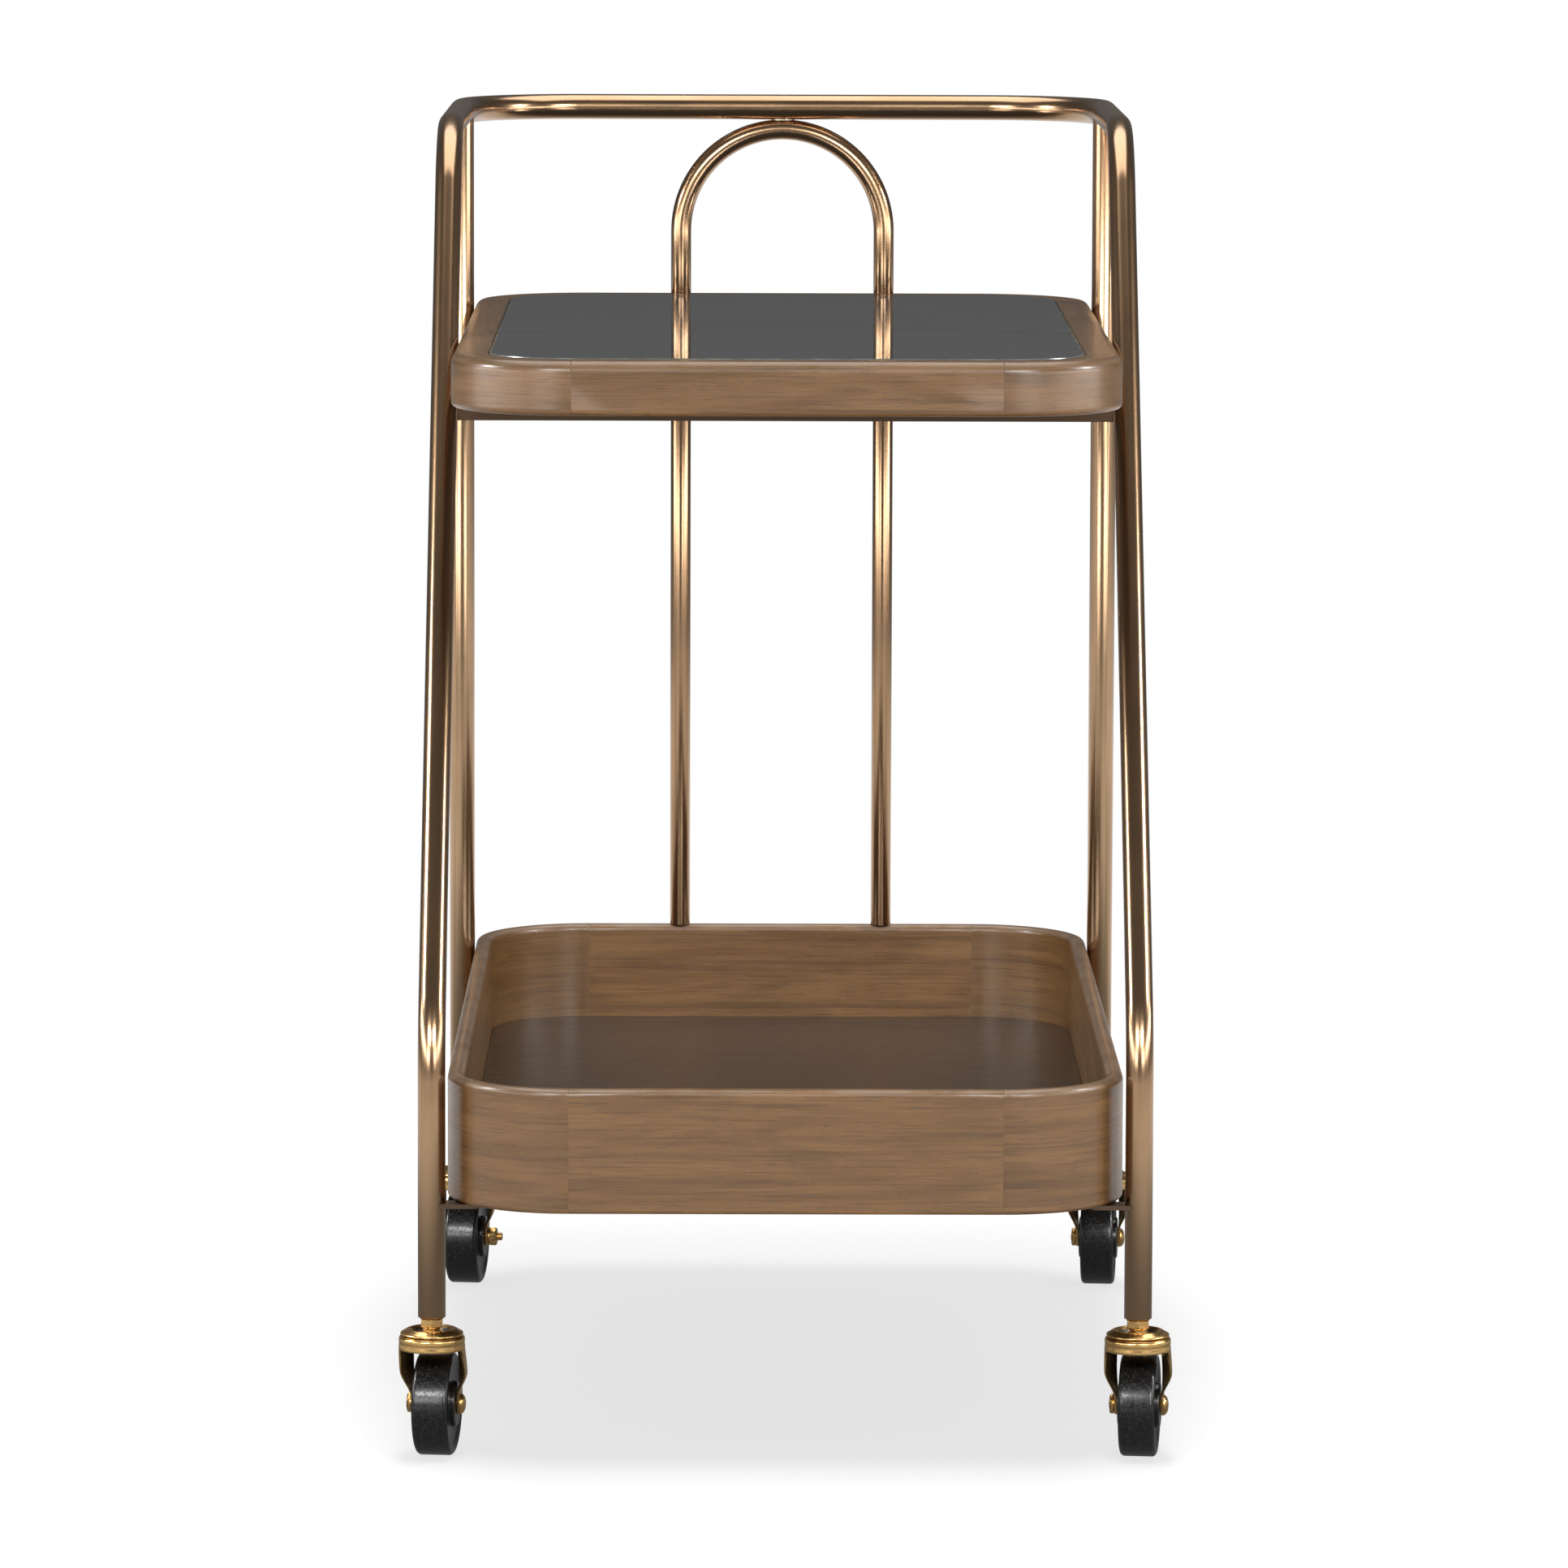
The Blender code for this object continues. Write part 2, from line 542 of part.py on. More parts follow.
def make_fork(name, parent, brass):
    """Pressed ring with two blades that sweep back to the axle."""
    rings_down = ((KINGPIN_RADIUS + GAP, RING_TOP), (0.0196, RING_TOP), (0.0214, RING_TOP - 0.0012),
                  (RING_RADIUS, RING_TOP - 0.0032), (RING_RADIUS, RING_BOTTOM))
    bm = bmesh.new()
    rings = []
    for radius, height in rings_down:
        ring = []
        for number in range(RING_SEGMENTS):
            angle = math.tau * number / RING_SEGMENTS
            ring.append(bm.verts.new((radius * math.cos(angle), radius * math.sin(angle), height)))
        rings.append(ring)
    for ring_a, ring_b in zip(rings, rings[1:]):
        bridge(bm, ring_a, ring_b)

    columns = range(BLADE_FIRST, BLADE_LAST + 1)
    for mirror in (1, -1):
        if mirror > 0:
            above = [rings[-1][number % RING_SEGMENTS] for number in columns]
        else:
            above = [rings[-1][(RING_SEGMENTS // 2 - number) % RING_SEGMENTS] for number in columns]
        rows = [blade_row(level) for level in BLADE_LEVELS]
        for share in (0.75, 0.35):
            drop = FORK_END_RADIUS * math.sqrt(1 - share ** 2)
            rows.append([(FORK_HALF_WIDTH, CASTER_TRAIL + FORK_END_RADIUS * share * blade_share(column),
                          WHEEL_RADIUS - drop) for column in columns])
        for row in rows:
            below = [bm.verts.new((mirror * x, y, z)) for x, y, z in row]
            for number in range(len(row) - 1):
                bm.faces.new((above[number], above[number + 1], below[number + 1], below[number]))
            above = below
    bmesh.ops.recalc_face_normals(bm, faces=bm.faces)
    top_faces = [face for face in bm.faces if face.calc_center_median().z > RING_TOP - 1e-5]
    if top_faces[0].normal.z < 0:
        bmesh.ops.reverse_faces(bm, faces=bm.faces)
    mesh = bpy.data.meshes.new(name)
    bm.to_mesh(mesh)
    bm.free()
    mesh.shade_smooth()
    mesh.materials.append(brass)
    fork = bpy.data.objects.new(name, mesh)
    bpy.context.scene.collection.objects.link(fork)
    fork.parent = parent

    sheet = fork.modifiers.new("sheet", "SOLIDIFY")
    sheet.thickness = FORK_THICKNESS
    sheet.offset = -1.0

    drill_bm = bmesh.new()
    drill_radius = AXLE_RADIUS + GAP
    drill_reach = FORK_HALF_WIDTH + DRILL_OVERSHOOT
    turned(drill_bm, round_profile([(0.0, drill_reach), (drill_radius, drill_reach),
                                    (drill_radius, -drill_reach), (0.0, -drill_reach)]), BOLT_SEGMENTS)
    bmesh.ops.rotate(drill_bm, verts=drill_bm.verts, matrix=Matrix.Rotation(math.pi / 2, 3, "Y"))
    drill = add_object(f"{name}_axle_drill", drill_bm, brass, parent, (0.0, CASTER_TRAIL, WHEEL_RADIUS))
    drill.hide_render = True
    drill.display_type = "WIRE"
    holes = fork.modifiers.new("axle_holes", "BOOLEAN")
    holes.operation = "DIFFERENCE"
    holes.object = drill
    return fork


def make_wheel(name, parent, black):
    """One-piece hard wheel: flat tread, thin sides and a wide hub boss."""
    side_in = WHEEL_HALF_TREAD - 0.0022
    half = [
        (AXLE_BORE, WHEEL_HALF_HUB),
        (HUB_RADIUS - 0.0012, WHEEL_HALF_HUB),
        (HUB_RADIUS, WHEEL_HALF_HUB - 0.0012),
        (HUB_RADIUS, side_in),
        (WHEEL_RADIUS - 0.007, side_in),
        (WHEEL_RADIUS - 0.004, WHEEL_HALF_TREAD - 0.0006),
        (WHEEL_RADIUS - 0.0015, WHEEL_HALF_TREAD - 0.0007),
        (WHEEL_RADIUS, WHEEL_HALF_TREAD - 0.003),
    ]
    profile = half + [(radius, -across) for radius, across in reversed(half)]
    bm = bmesh.new()
    turned(bm, round_profile(profile), RING_SEGMENTS, closed=True)
    bmesh.ops.rotate(bm, verts=bm.verts, matrix=Matrix.Rotation(math.pi / 2, 3, "Y"))
    return add_object(name, bm, black, parent, (0.0, CASTER_TRAIL, WHEEL_RADIUS))


def make_bolt(name, parent, head_side, bare_thread, brass):
    """Axle bolt with a domed head on one side and its nut on the other."""
    seat = FORK_HALF_WIDTH + GAP
    nut_depth = THIN_NUT if bare_thread < 0.001 else THICK_NUT
    nut_radius = AXLE_NUT_RADIUS
    chamfer = 0.0007
    thread_end = -seat - nut_depth - bare_thread
    profile = [
        (0.0, seat + 0.0029, False),
        (0.0030, seat + 0.0027, False),
        (0.0056, seat + 0.0016, False),
        (BOLT_HEAD_RADIUS, seat, False),
        (AXLE_RADIUS, seat - 1e-5, False),
        (AXLE_RADIUS, -seat + 1e-5, False),
        (nut_radius - chamfer, -seat, False),
        (nut_radius, -seat - chamfer, True),
        (nut_radius, -seat - nut_depth + chamfer, True),
        (nut_radius - chamfer, -seat - nut_depth, False),
        (AXLE_RADIUS - 0.0003, -seat - nut_depth - 1e-5, False),
        (AXLE_RADIUS - 0.0003, thread_end, False),
        (0.0, thread_end - 1e-5, False),
    ]
    bm = bmesh.new()
    turned(bm, profile, BOLT_SEGMENTS)
    bmesh.ops.rotate(bm, verts=bm.verts, matrix=Matrix.Rotation(head_side * math.pi / 2, 3, "Y"))
    return add_object(name, bm, brass, parent, (0.0, CASTER_TRAIL, WHEEL_RADIUS))


def make_caster(name, sign, leg_y, rest_angle, head_side, bare_thread, brass, black):
    axis = (sign * LEG_X, leg_y, 0.0)
    make_stem(f"caster_stem_{name}", axis, brass)
    make_race(f"caster_race_{name}", axis, brass)
    swivel = bpy.data.objects.new(f"swivel_axis_{name}", None)
    bpy.context.scene.collection.objects.link(swivel)
    swivel.location = axis
    swivel.rotation_euler = (0.0, 0.0, math.radians(rest_angle))
    make_fork(f"caster_fork_{name}", swivel, brass)
    make_wheel(f"caster_wheel_{name}", swivel, black)
    make_bolt(f"caster_axle_{name}", swivel, head_side, bare_thread, brass)


def main():
    clear_scene()
    antique_brass = make_material("antique_brass", (0.33, 0.24, 0.16), 0.32, 1.0)
    bright_brass = make_material("bright_brass", (0.60, 0.40, 0.17), 0.25, 1.0)
    walnut = make_material("walnut", (0.17, 0.10, 0.055), 0.42, 0.0)
    dark_board = make_material("dark_board", (0.09, 0.055, 0.035), 0.35, 0.0)
    tinted_glass = make_material("tinted_glass", (0.11, 0.12, 0.125), 0.06, 0.0)
    clear_rubber = make_material("clear_rubber", (0.55, 0.55, 0.53), 0.4, 0.0)
    black_wheel = make_material("black_wheel", (0.012, 0.012, 0.013), 0.25, 0.0)

    make_frame(antique_brass)
    make_hoop(antique_brass)
    make_upper_tray(walnut, dark_board, tinted_glass, clear_rubber)
    make_lower_tray(walnut, dark_board)
    make_supports(antique_brass)
    for name, sign, leg_y, rest_angle, head_side, bare_thread in CASTERS:
        make_caster(name, sign, leg_y, rest_angle, head_side, bare_thread, bright_brass, black_wheel)


main()
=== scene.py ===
"""Studio scene of the bar cart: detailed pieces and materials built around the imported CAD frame.

Metres, +Z up, origin on the floor under the middle of the cart. X runs across the cart and Y along
it: -Y is the low front end, +Y the end with the push handle and the hoop.
"""

import math

import bmesh
import bpy
from mathutils import Matrix, Vector


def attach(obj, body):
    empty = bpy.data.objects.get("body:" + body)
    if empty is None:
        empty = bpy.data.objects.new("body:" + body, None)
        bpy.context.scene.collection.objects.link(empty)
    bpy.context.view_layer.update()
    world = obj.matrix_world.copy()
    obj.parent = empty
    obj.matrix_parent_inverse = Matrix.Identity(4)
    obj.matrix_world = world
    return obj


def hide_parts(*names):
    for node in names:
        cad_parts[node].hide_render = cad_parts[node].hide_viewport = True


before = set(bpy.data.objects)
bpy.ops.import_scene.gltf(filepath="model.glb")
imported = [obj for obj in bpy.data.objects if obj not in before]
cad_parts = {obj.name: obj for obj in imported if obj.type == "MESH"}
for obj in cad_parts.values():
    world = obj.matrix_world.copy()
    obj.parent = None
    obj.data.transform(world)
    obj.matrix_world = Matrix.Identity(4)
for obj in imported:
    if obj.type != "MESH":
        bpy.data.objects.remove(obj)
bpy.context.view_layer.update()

# Dimensions of the CAD model.
GAP = 0.0003
CART_LENGTH = 0.785
LEG_X = 0.2290
FRONT_LEG_Y = -0.3475
BACK_LEG_Y = 0.2825
LEG_BOTTOM = 0.0943
TUBE_RADIUS = 0.009
TUBE_WALL = 0.0015
LOWER_BEND_Z = 0.276
LOWER_BEND_RADIUS = 0.090
UPPER_BEND_Y = 0.0345
UPPER_BEND_RADIUS = 0.085
HANDLE_Z = 0.8466
HANDLE_Y = CART_LENGTH / 2 - TUBE_RADIUS
HANDLE_CORNER_RADIUS = 0.085
HOOP_TUBE_RADIUS = 0.00725
HOOP_TUBE_WALL = 0.0012
HOOP_RADIUS = 0.0733
HOOP_Y = 0.385
TRAY_HALF_WIDTH = LEG_X - TUBE_RADIUS - GAP
TRAY_BACK = CART_LENGTH / 2
TRAY_CORNER_RADIUS = 0.080
UPPER_FRONT = -0.3065
UPPER_BOTTOM = 0.6765
UPPER_TOP = 0.712
UPPER_RAIL_WIDTH = 0.0245
DECK_TOP = 0.7055
DECK_THICKNESS = 0.015
CROSSBAR_HEIGHT = 0.020
CROSSBAR_THICKNESS = 0.006
GLASS_TOP = 0.7123
GLASS_THICKNESS = 0.005
BUMPER_RADIUS = 0.005
BUMPER_EDGE_DISTANCE = 0.035
LOWER_FRONT = -CART_LENGTH / 2
LOWER_BOTTOM = 0.1695
LOWER_TOP = 0.2505
LOWER_WALL = 0.011
FLOOR_TOP = 0.183
FLOOR_THICKNESS = 0.0095
TAB_LENGTH = 0.024
TAB_HALF_WIDTH = 0.008
TAB_THICKNESS = 0.003
WHEEL_RADIUS = 0.0337
CASTER_TRAIL = 0.0195
RACE_TOP = 0.0842
RACE_RADIUS = 0.0205
RING_TOP = 0.0826
RING_BOTTOM = 0.0736
RING_RADIUS = 0.0216
KINGPIN_RADIUS = 0.004
FORK_THICKNESS = 0.0016
FORK_HALF_WIDTH = 0.0158
FORK_END_RADIUS = 0.0068
BLADE_ANGLE = 15.0                 # middle of a blade round the ring, in degrees
BLADE_HALF_ANGLE = 30.0
BLADE_FLARE = 0.22                 # extra width where a blade leaves the ring
BLADE_FLARE_DEPTH = 0.14
BLADE_TURNS_IN = 0.4
BLADE_FLAT_FROM = 0.84
BLADE_BULGE = 0.0006
NUT_CORNER_RADIUS = 0.0079
AXLE_RADIUS = 0.003
BOLT_HEAD_RADIUS = 0.0068
AXLE_NUT_RADIUS = 0.0066
PLAIN_NUT = 0.0032
THICK_NUT = 0.0058                 # on the bolt whose thread stands out of its nut
THREAD_PITCH = 0.0008

# name, leg side, leg y, swivel at rest in degrees, side of the bolt's head, length of bare thread
CASTERS = (
    ("front_left", -1, FRONT_LEG_Y, -7.5, 1, 0.0005),
    ("front_right", 1, FRONT_LEG_Y, -7.0, 1, 0.0005),
    ("back_left", -1, BACK_LEG_Y, -7.0, -1, 0.004),
    ("back_right", 1, BACK_LEG_Y, -5.0, 1, 0.0005),
)

SIDES = (("left", -1), ("right", 1))

# Finish of the visual pieces.
TUBE_SIDES = 48
BEND_STEP = 3.0                    # degrees of bend per ring of a tube
EDGE_LIP = 0.0004                  # rounding of cut tube ends and sheet edges
MID_ROUND = 0.3                    # share of a rounding at its middle ring
TURNED_SEGMENTS = 48
WELD_SEGMENTS = 24
RING_SEGMENTS = 72
WHEEL_SEGMENTS = 96
CORNER_STEPS = 24
BOARD_STEPS = 8
WELD_HALF_LENGTH = 0.0085
SUPPORT = 0.0005                   # flat strip beside a rounding that keeps the face's shading flat
SEAM = 0.00004                     # half the joint line between two wooden pieces
SEAM_ROUND = 0.00025
UV_STRIDE = 1.37                   # moves each piece to its own stretch of grain
UV_SIDE_STRIDE = 0.31
LOWER_UV_STRIDE = 2.3              # the lower tray's stride against the upper one's


# ---------------------------------------------------------------- node helpers

class Graph:
    """A short way to write a material's node tree."""

    def __init__(self, name):
        self.material = bpy.data.materials.new(name)
        self.material.use_nodes = True
        self.tree = self.material.node_tree
        self.shader = self.tree.nodes["Principled BSDF"]

    def node(self, kind, values=None, **settings):
        """A node with these settings, then these values or links on its inputs."""
        made = self.tree.nodes.new(kind)
        for key, value in settings.items():
            setattr(made, key, value)
        for key, value in (values or {}).items():
            self.feed(value, made.inputs[key])
        return made

    def link(self, source, target):
        self.tree.links.new(source, target)

    def feed(self, value, socket):
        if isinstance(value, bpy.types.NodeSocket):
            self.link(value, socket)
        else:
            socket.default_value = value

    def set(self, **values):
        for key, value in values.items():
            self.feed(value, self.shader.inputs[key.replace("_", " ")])

    def noise(self, scale, offset=(0.0, 0.0), detail=3.0, roughness=0.5, distortion=0.0):
        """Noise over the UVs, stretched by the scale's two numbers."""
        spots = self.node("ShaderNodeTexCoord").outputs["UV"]
        mapping = self.node("ShaderNodeMapping", {"Vector": spots, "Scale": (*scale, 1.0),
                                                  "Location": (*offset, 0.0)})
        made = self.node("ShaderNodeTexNoise", {"Vector": mapping.outputs["Vector"], "Scale": 1.0,
                                                "Detail": detail, "Roughness": roughness,
                                                "Distortion": distortion})
        return made.outputs["Fac"]

    def ramp(self, factor, low, high, out_low=0.0, out_high=1.0):
        values = {"Value": factor, "From Min": low, "From Max": high, "To Min": out_low, "To Max": out_high}
        return self.node("ShaderNodeMapRange", values, interpolation_type="SMOOTHSTEP").outputs["Result"]

    def math(self, operation, a, b=0.0):
        return self.node("ShaderNodeMath", {0: a, 1: b}, operation=operation).outputs["Value"]

    def mix(self, factor, a, b, blend="MIX"):
        a = (*a, 1.0) if isinstance(a, tuple) else a
        b = (*b, 1.0) if isinstance(b, tuple) else b
        made = self.node("ShaderNodeMix", {0: factor, 6: a, 7: b}, data_type="RGBA", blend_type=blend)
        return made.outputs[2]

    def paint(self):
        """The piece's marks: red scales its colour (on wood partly painted shade and light); green marks wear
        (on wood partly a painted edge highlight).
        """
        marks = self.node("ShaderNodeAttribute", attribute_name="marks")
        split = self.node("ShaderNodeSeparateColor", {"Color": marks.outputs["Color"]})
        return split.outputs["Red"], split.outputs["Green"]

    def bump(self, height, distance, strength=1.0):
        made = self.node("ShaderNodeBump", {"Strength": strength, "Distance": distance, "Height": height})
        self.link(made.outputs["Normal"], self.shader.inputs["Normal"])


# ---------------------------------------------------------------- materials

def brushed_brass(name, base, patina, rough, streak=0.08):
    """Lacquered plated tube: soft sheen, faint lengthwise brushing, brown patina and small dark specks."""
    g = Graph(name)
    lines = g.noise((5.0, 2200.0), detail=2.0)
    clouds = g.noise((14.0, 45.0), detail=4.0, distortion=0.6)
    specks = g.noise((1700.0, 1700.0), detail=1.0)
    color = g.mix(g.ramp(clouds, 0.35, 0.72, 0.0, 0.40), base, patina)
    color = g.mix(g.ramp(lines, 0.3, 0.7, 0.0, streak), color, patina)
    color = g.mix(g.ramp(specks, 0.67, 0.74, 0.0, 0.30), color, (0.05, 0.03, 0.02))
    _, wear_and_highlight = g.paint()
    color = g.mix(g.math("MULTIPLY", wear_and_highlight, 0.6), color, (0.75, 0.56, 0.36))
    g.set(Base_Color=color, Metallic=1.0, Coat_Weight=0.6, Coat_Roughness=0.20)
    uneven = g.math("MULTIPLY", g.ramp(lines, 0.25, 0.75, -0.5, 0.5), 0.02)
    cloudy = g.math("MULTIPLY", g.ramp(clouds, 0.3, 0.7, -0.5, 0.5), 0.05)
    g.set(Roughness=g.math("ADD", g.math("ADD", uneven, cloudy), rough))
    g.bump(g.math("ADD", lines, g.math("MULTIPLY", specks, 0.6)), 0.000003, 0.3)
    return g.material


def aged_brass(name, base, patina, rough):
    """Caster plating: golden, with brown tarnish and small scratches."""
    g = Graph(name)
    clouds = g.noise((120.0, 160.0), detail=3.0, distortion=0.6)
    scratches = g.noise((2400.0, 160.0), detail=2.0, distortion=0.3)
    grit = g.noise((2600.0, 2600.0), detail=1.0)
    color = g.mix(g.ramp(clouds, 0.42, 0.72, 0.0, 0.5), base, patina)
    color = g.mix(g.ramp(scratches, 0.55, 0.7, 0.0, 0.2), color, patina)
    color = g.mix(g.ramp(grit, 0.68, 0.74, 0.0, 0.35), color, (0.05, 0.035, 0.02))
    _, wear_and_highlight = g.paint()
    color = g.mix(g.math("MULTIPLY", wear_and_highlight, 0.7), color, (0.85, 0.62, 0.30))
    g.set(Base_Color=color, Metallic=1.0)
    g.set(Roughness=g.ramp(clouds, 0.3, 0.75, rough - 0.05, rough + 0.14))
    g.bump(g.math("ADD", clouds, g.math("MULTIPLY", scratches, 0.5)), 0.00002, 0.3)
    return g.material


def lacquered_wood(name, light, brown, dark, rough, coat, pore_depth=0.00008):
    """Stained wood along U: broad figure, fine grain lines, open pores, scuffed edges with a painted
    highlight, and a colour scale per piece that carries painted shade and light.
    """
    g = Graph(name)
    tone_and_shade, wear_and_highlight = g.paint()
    figure = g.noise((5.0, 38.0), detail=5.0, roughness=0.62, distortion=1.4)
    bands = g.noise((2.2, 95.0), (3.0, 7.0), detail=4.0, roughness=0.6, distortion=0.5)
    grain = g.noise((16.0, 620.0), detail=3.0, roughness=0.65)
    pores = g.noise((85.0, 2100.0), (11.0, 5.0), detail=2.0)
    mottle = g.noise((26.0, 30.0), (1.0, 9.0), detail=3.0)
    color = g.mix(g.ramp(figure, 0.33, 0.68), brown, light)
    color = g.mix(g.ramp(bands, 0.52, 0.70, 0.0, 0.55), color, dark)
    color = g.mix(g.ramp(grain, 0.46, 0.72, 0.0, 0.62), color, dark)
    color = g.mix(g.ramp(mottle, 0.3, 0.75, 0.0, 0.22), color, brown)
    color = g.mix(g.ramp(pores, 0.62, 0.70, 0.0, 0.65), color, (0.028, 0.016, 0.009))
    # scuffed edges: partly wear, partly a painted highlight along the rounded top edges
    rubbed_and_highlight = g.math("MULTIPLY", wear_and_highlight, g.ramp(mottle, 0.3, 0.6, 0.25, 0.9))
    color = g.mix(g.math("MULTIPLY", rubbed_and_highlight, 0.75), color, (0.42, 0.31, 0.23))
    # each piece's colour scale, partly painted shade and light, multiplies the colour
    shade = g.node("ShaderNodeCombineColor", {"Red": tone_and_shade, "Green": tone_and_shade, "Blue": tone_and_shade})
    color = g.mix(1.0, color, shade.outputs["Color"], "MULTIPLY")
    peel = g.noise((900.0, 900.0), detail=2.0)
    g.set(Base_Color=color)
    g.set(Roughness=g.ramp(figure, 0.3, 0.7, rough - 0.04, rough + 0.06))
    g.set(Coat_Weight=coat, Coat_Roughness=0.20)
    relief = g.math("SUBTRACT", g.math("MULTIPLY", peel, 0.45), g.ramp(pores, 0.60, 0.72))
    g.bump(g.math("ADD", relief, g.math("MULTIPLY", grain, 0.4)), pore_depth, 0.6)
    return g.material


def tinted_glass(name):
    """Dark tinted glass with a few dust specks and faint wiping marks."""
    g = Graph(name)
    wipes = g.noise((9.0, 26.0), detail=3.0, distortion=1.5)
    dust = g.noise((620.0, 620.0), detail=1.0)
    color = g.mix(g.ramp(wipes, 0.3, 0.7), (0.078, 0.085, 0.094), (0.088, 0.095, 0.104))
    color = g.mix(g.ramp(dust, 0.775, 0.80, 0.0, 0.8), color, (0.7, 0.7, 0.68))
    g.set(Base_Color=color, IOR=1.8)
    smears = g.ramp(wipes, 0.35, 0.7, 0.02, 0.06)
    g.set(Roughness=g.math("ADD", smears, g.ramp(dust, 0.775, 0.8, 0.0, 0.4)))
    return g.material


def glass_edge(name):
    """Ground and polished rim of the glass, pale and slightly green."""
    g = Graph(name)
    flow = g.noise((60.0, 900.0), detail=2.0)
    g.set(Base_Color=g.mix(g.ramp(flow, 0.3, 0.7), (0.28, 0.33, 0.32), (0.42, 0.48, 0.47)))
    g.set(Metallic=0.75, Roughness=g.ramp(flow, 0.3, 0.7, 0.18, 0.30))
    return g.material


def clear_bumper(name):
    """Hazy clear pad."""
    g = Graph(name)
    haze = g.noise((500.0, 500.0), detail=2.0)
    g.set(Base_Color=g.mix(g.ramp(haze, 0.3, 0.7), (0.62, 0.63, 0.60), (0.78, 0.79, 0.76)))
    g.set(Roughness=g.ramp(haze, 0.3, 0.7, 0.18, 0.35), Transmission_Weight=0.5)
    return g.material


def black_wheel(name):
    """Hard moulded wheel: glossy black sides, a tread dulled by dust and scuffs."""
    g = Graph(name)
    _, tread = g.paint()
    scuffs = g.noise((260.0, 1500.0), detail=4.0, roughness=0.65, distortion=0.5)
    dust = g.noise((420.0, 420.0), detail=5.0, roughness=0.7)
    nicks = g.noise((1500.0, 1100.0), detail=1.0)
    film = g.math("MULTIPLY", g.ramp(dust, 0.42, 0.72, 0.04, 0.6), g.ramp(scuffs, 0.35, 0.7, 0.3, 1.0))
    film = g.math("MULTIPLY", film, g.math("ADD", g.math("MULTIPLY", tread, 0.85), 0.12))
    color = g.mix(film, (0.006, 0.006, 0.0065), (0.030, 0.030, 0.029))
    spots = g.math("MULTIPLY", g.ramp(nicks, 0.715, 0.76), tread)
    color = g.mix(spots, color, (0.32, 0.31, 0.29))
    g.set(Base_Color=color)
    g.set(Roughness=g.math("ADD", g.math("MULTIPLY", film, 0.55), g.ramp(dust, 0.3, 0.7, 0.20, 0.30)))
    g.set(Coat_Weight=0.15, Coat_Roughness=0.12)
    g.bump(g.math("ADD", scuffs, g.math("MULTIPLY", dust, 0.5)), 0.00008, 0.45)
    return g.material


def weld_metal(name):
    """Bright rippled bead."""
    g = Graph(name)
    ripple = g.noise((1800.0, 900.0), detail=3.0)
    g.set(Base_Color=g.mix(g.ramp(ripple, 0.3, 0.7), (0.55, 0.46, 0.36), (0.80, 0.74, 0.66)), Metallic=1.0)
    g.set(Roughness=g.ramp(ripple, 0.3, 0.7, 0.12, 0.3))
    g.bump(ripple, 0.0001, 0.5)
    return g.material


TUBE_BRASS = brushed_brass("tube_brass", (0.43, 0.264, 0.142), (0.28, 0.160, 0.076), 0.215)
# Crossbars and tabs: the tube's brass darkened as painted shade for their place under the trays.
SHADED_BAR_BRASS = brushed_brass("bar_brass", (0.115, 0.068, 0.038), (0.070, 0.040, 0.022), 0.30)
CASTER_BRASS = aged_brass("caster_brass", (0.80, 0.51, 0.20), (0.42, 0.235, 0.085), 0.22)
RACE_STEEL = aged_brass("race_steel", (0.40, 0.35, 0.29), (0.20, 0.15, 0.10), 0.26)
WALNUT = lacquered_wood("walnut", (0.262, 0.131, 0.043), (0.180, 0.089, 0.029),
                        (0.076, 0.035, 0.012), 0.34, 0.30)
FLOOR_WOOD = lacquered_wood("floor_wood", (0.080, 0.047, 0.027), (0.060, 0.035, 0.020),
                            (0.040, 0.023, 0.013), 0.34, 0.35, 0.00002)
GLASS = tinted_glass("tinted_mirror")
GLASS_EDGE = glass_edge("polished_edge")
BUMPER = clear_bumper("clear_bumper")
WHEEL_BLACK = black_wheel("wheel_black")
WELD = weld_metal("weld_metal")


# ---------------------------------------------------------------- mesh helpers

def finish_piece(name, bm, materials, node=None, body="frame", place=None, sharp=35.0, marks=None):
    """Turn the bmesh into a piece that stands for a CAD node, named as the piece less its last word.

    marks gives (colour scale with any painted shade, wear with any painted highlight) at a point.
    """
    node = node or name.rpartition("_")[0]
    bmesh.ops.recalc_face_normals(bm, faces=bm.faces)
    mesh = bpy.data.meshes.new(name)
    bm.to_mesh(mesh)
    bm.free()
    mesh.shade_smooth()
    mesh.set_sharp_from_angle(angle=math.radians(sharp))
    for polygon in mesh.polygons:
        if len(polygon.vertices) > 4:
            polygon.use_smooth = False
    for material in materials:
        mesh.materials.append(material)
    layer = mesh.color_attributes.new("marks", "FLOAT_COLOR", "POINT")
    for vertex, entry in zip(mesh.vertices, layer.data):
        tone_and_shade, wear_and_highlight = marks(vertex.co) if marks else (1.0, 0.0)
        entry.color = (tone_and_shade, wear_and_highlight, 0.0, 1.0)
    if place:
        mesh.transform(place)
    piece = bpy.data.objects.new(name, mesh)
    bpy.context.scene.collection.objects.link(piece)
    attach(piece, body)
    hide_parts(node)
    return piece


def add_face(bm, uv, corners):
    """A face over corners of (vertex, u, v)."""
    face = bm.faces.new([corner[0] for corner in corners])
    for loop, (_, u, v) in zip(face.loops, corners):
        loop[uv].uv = (u, v)


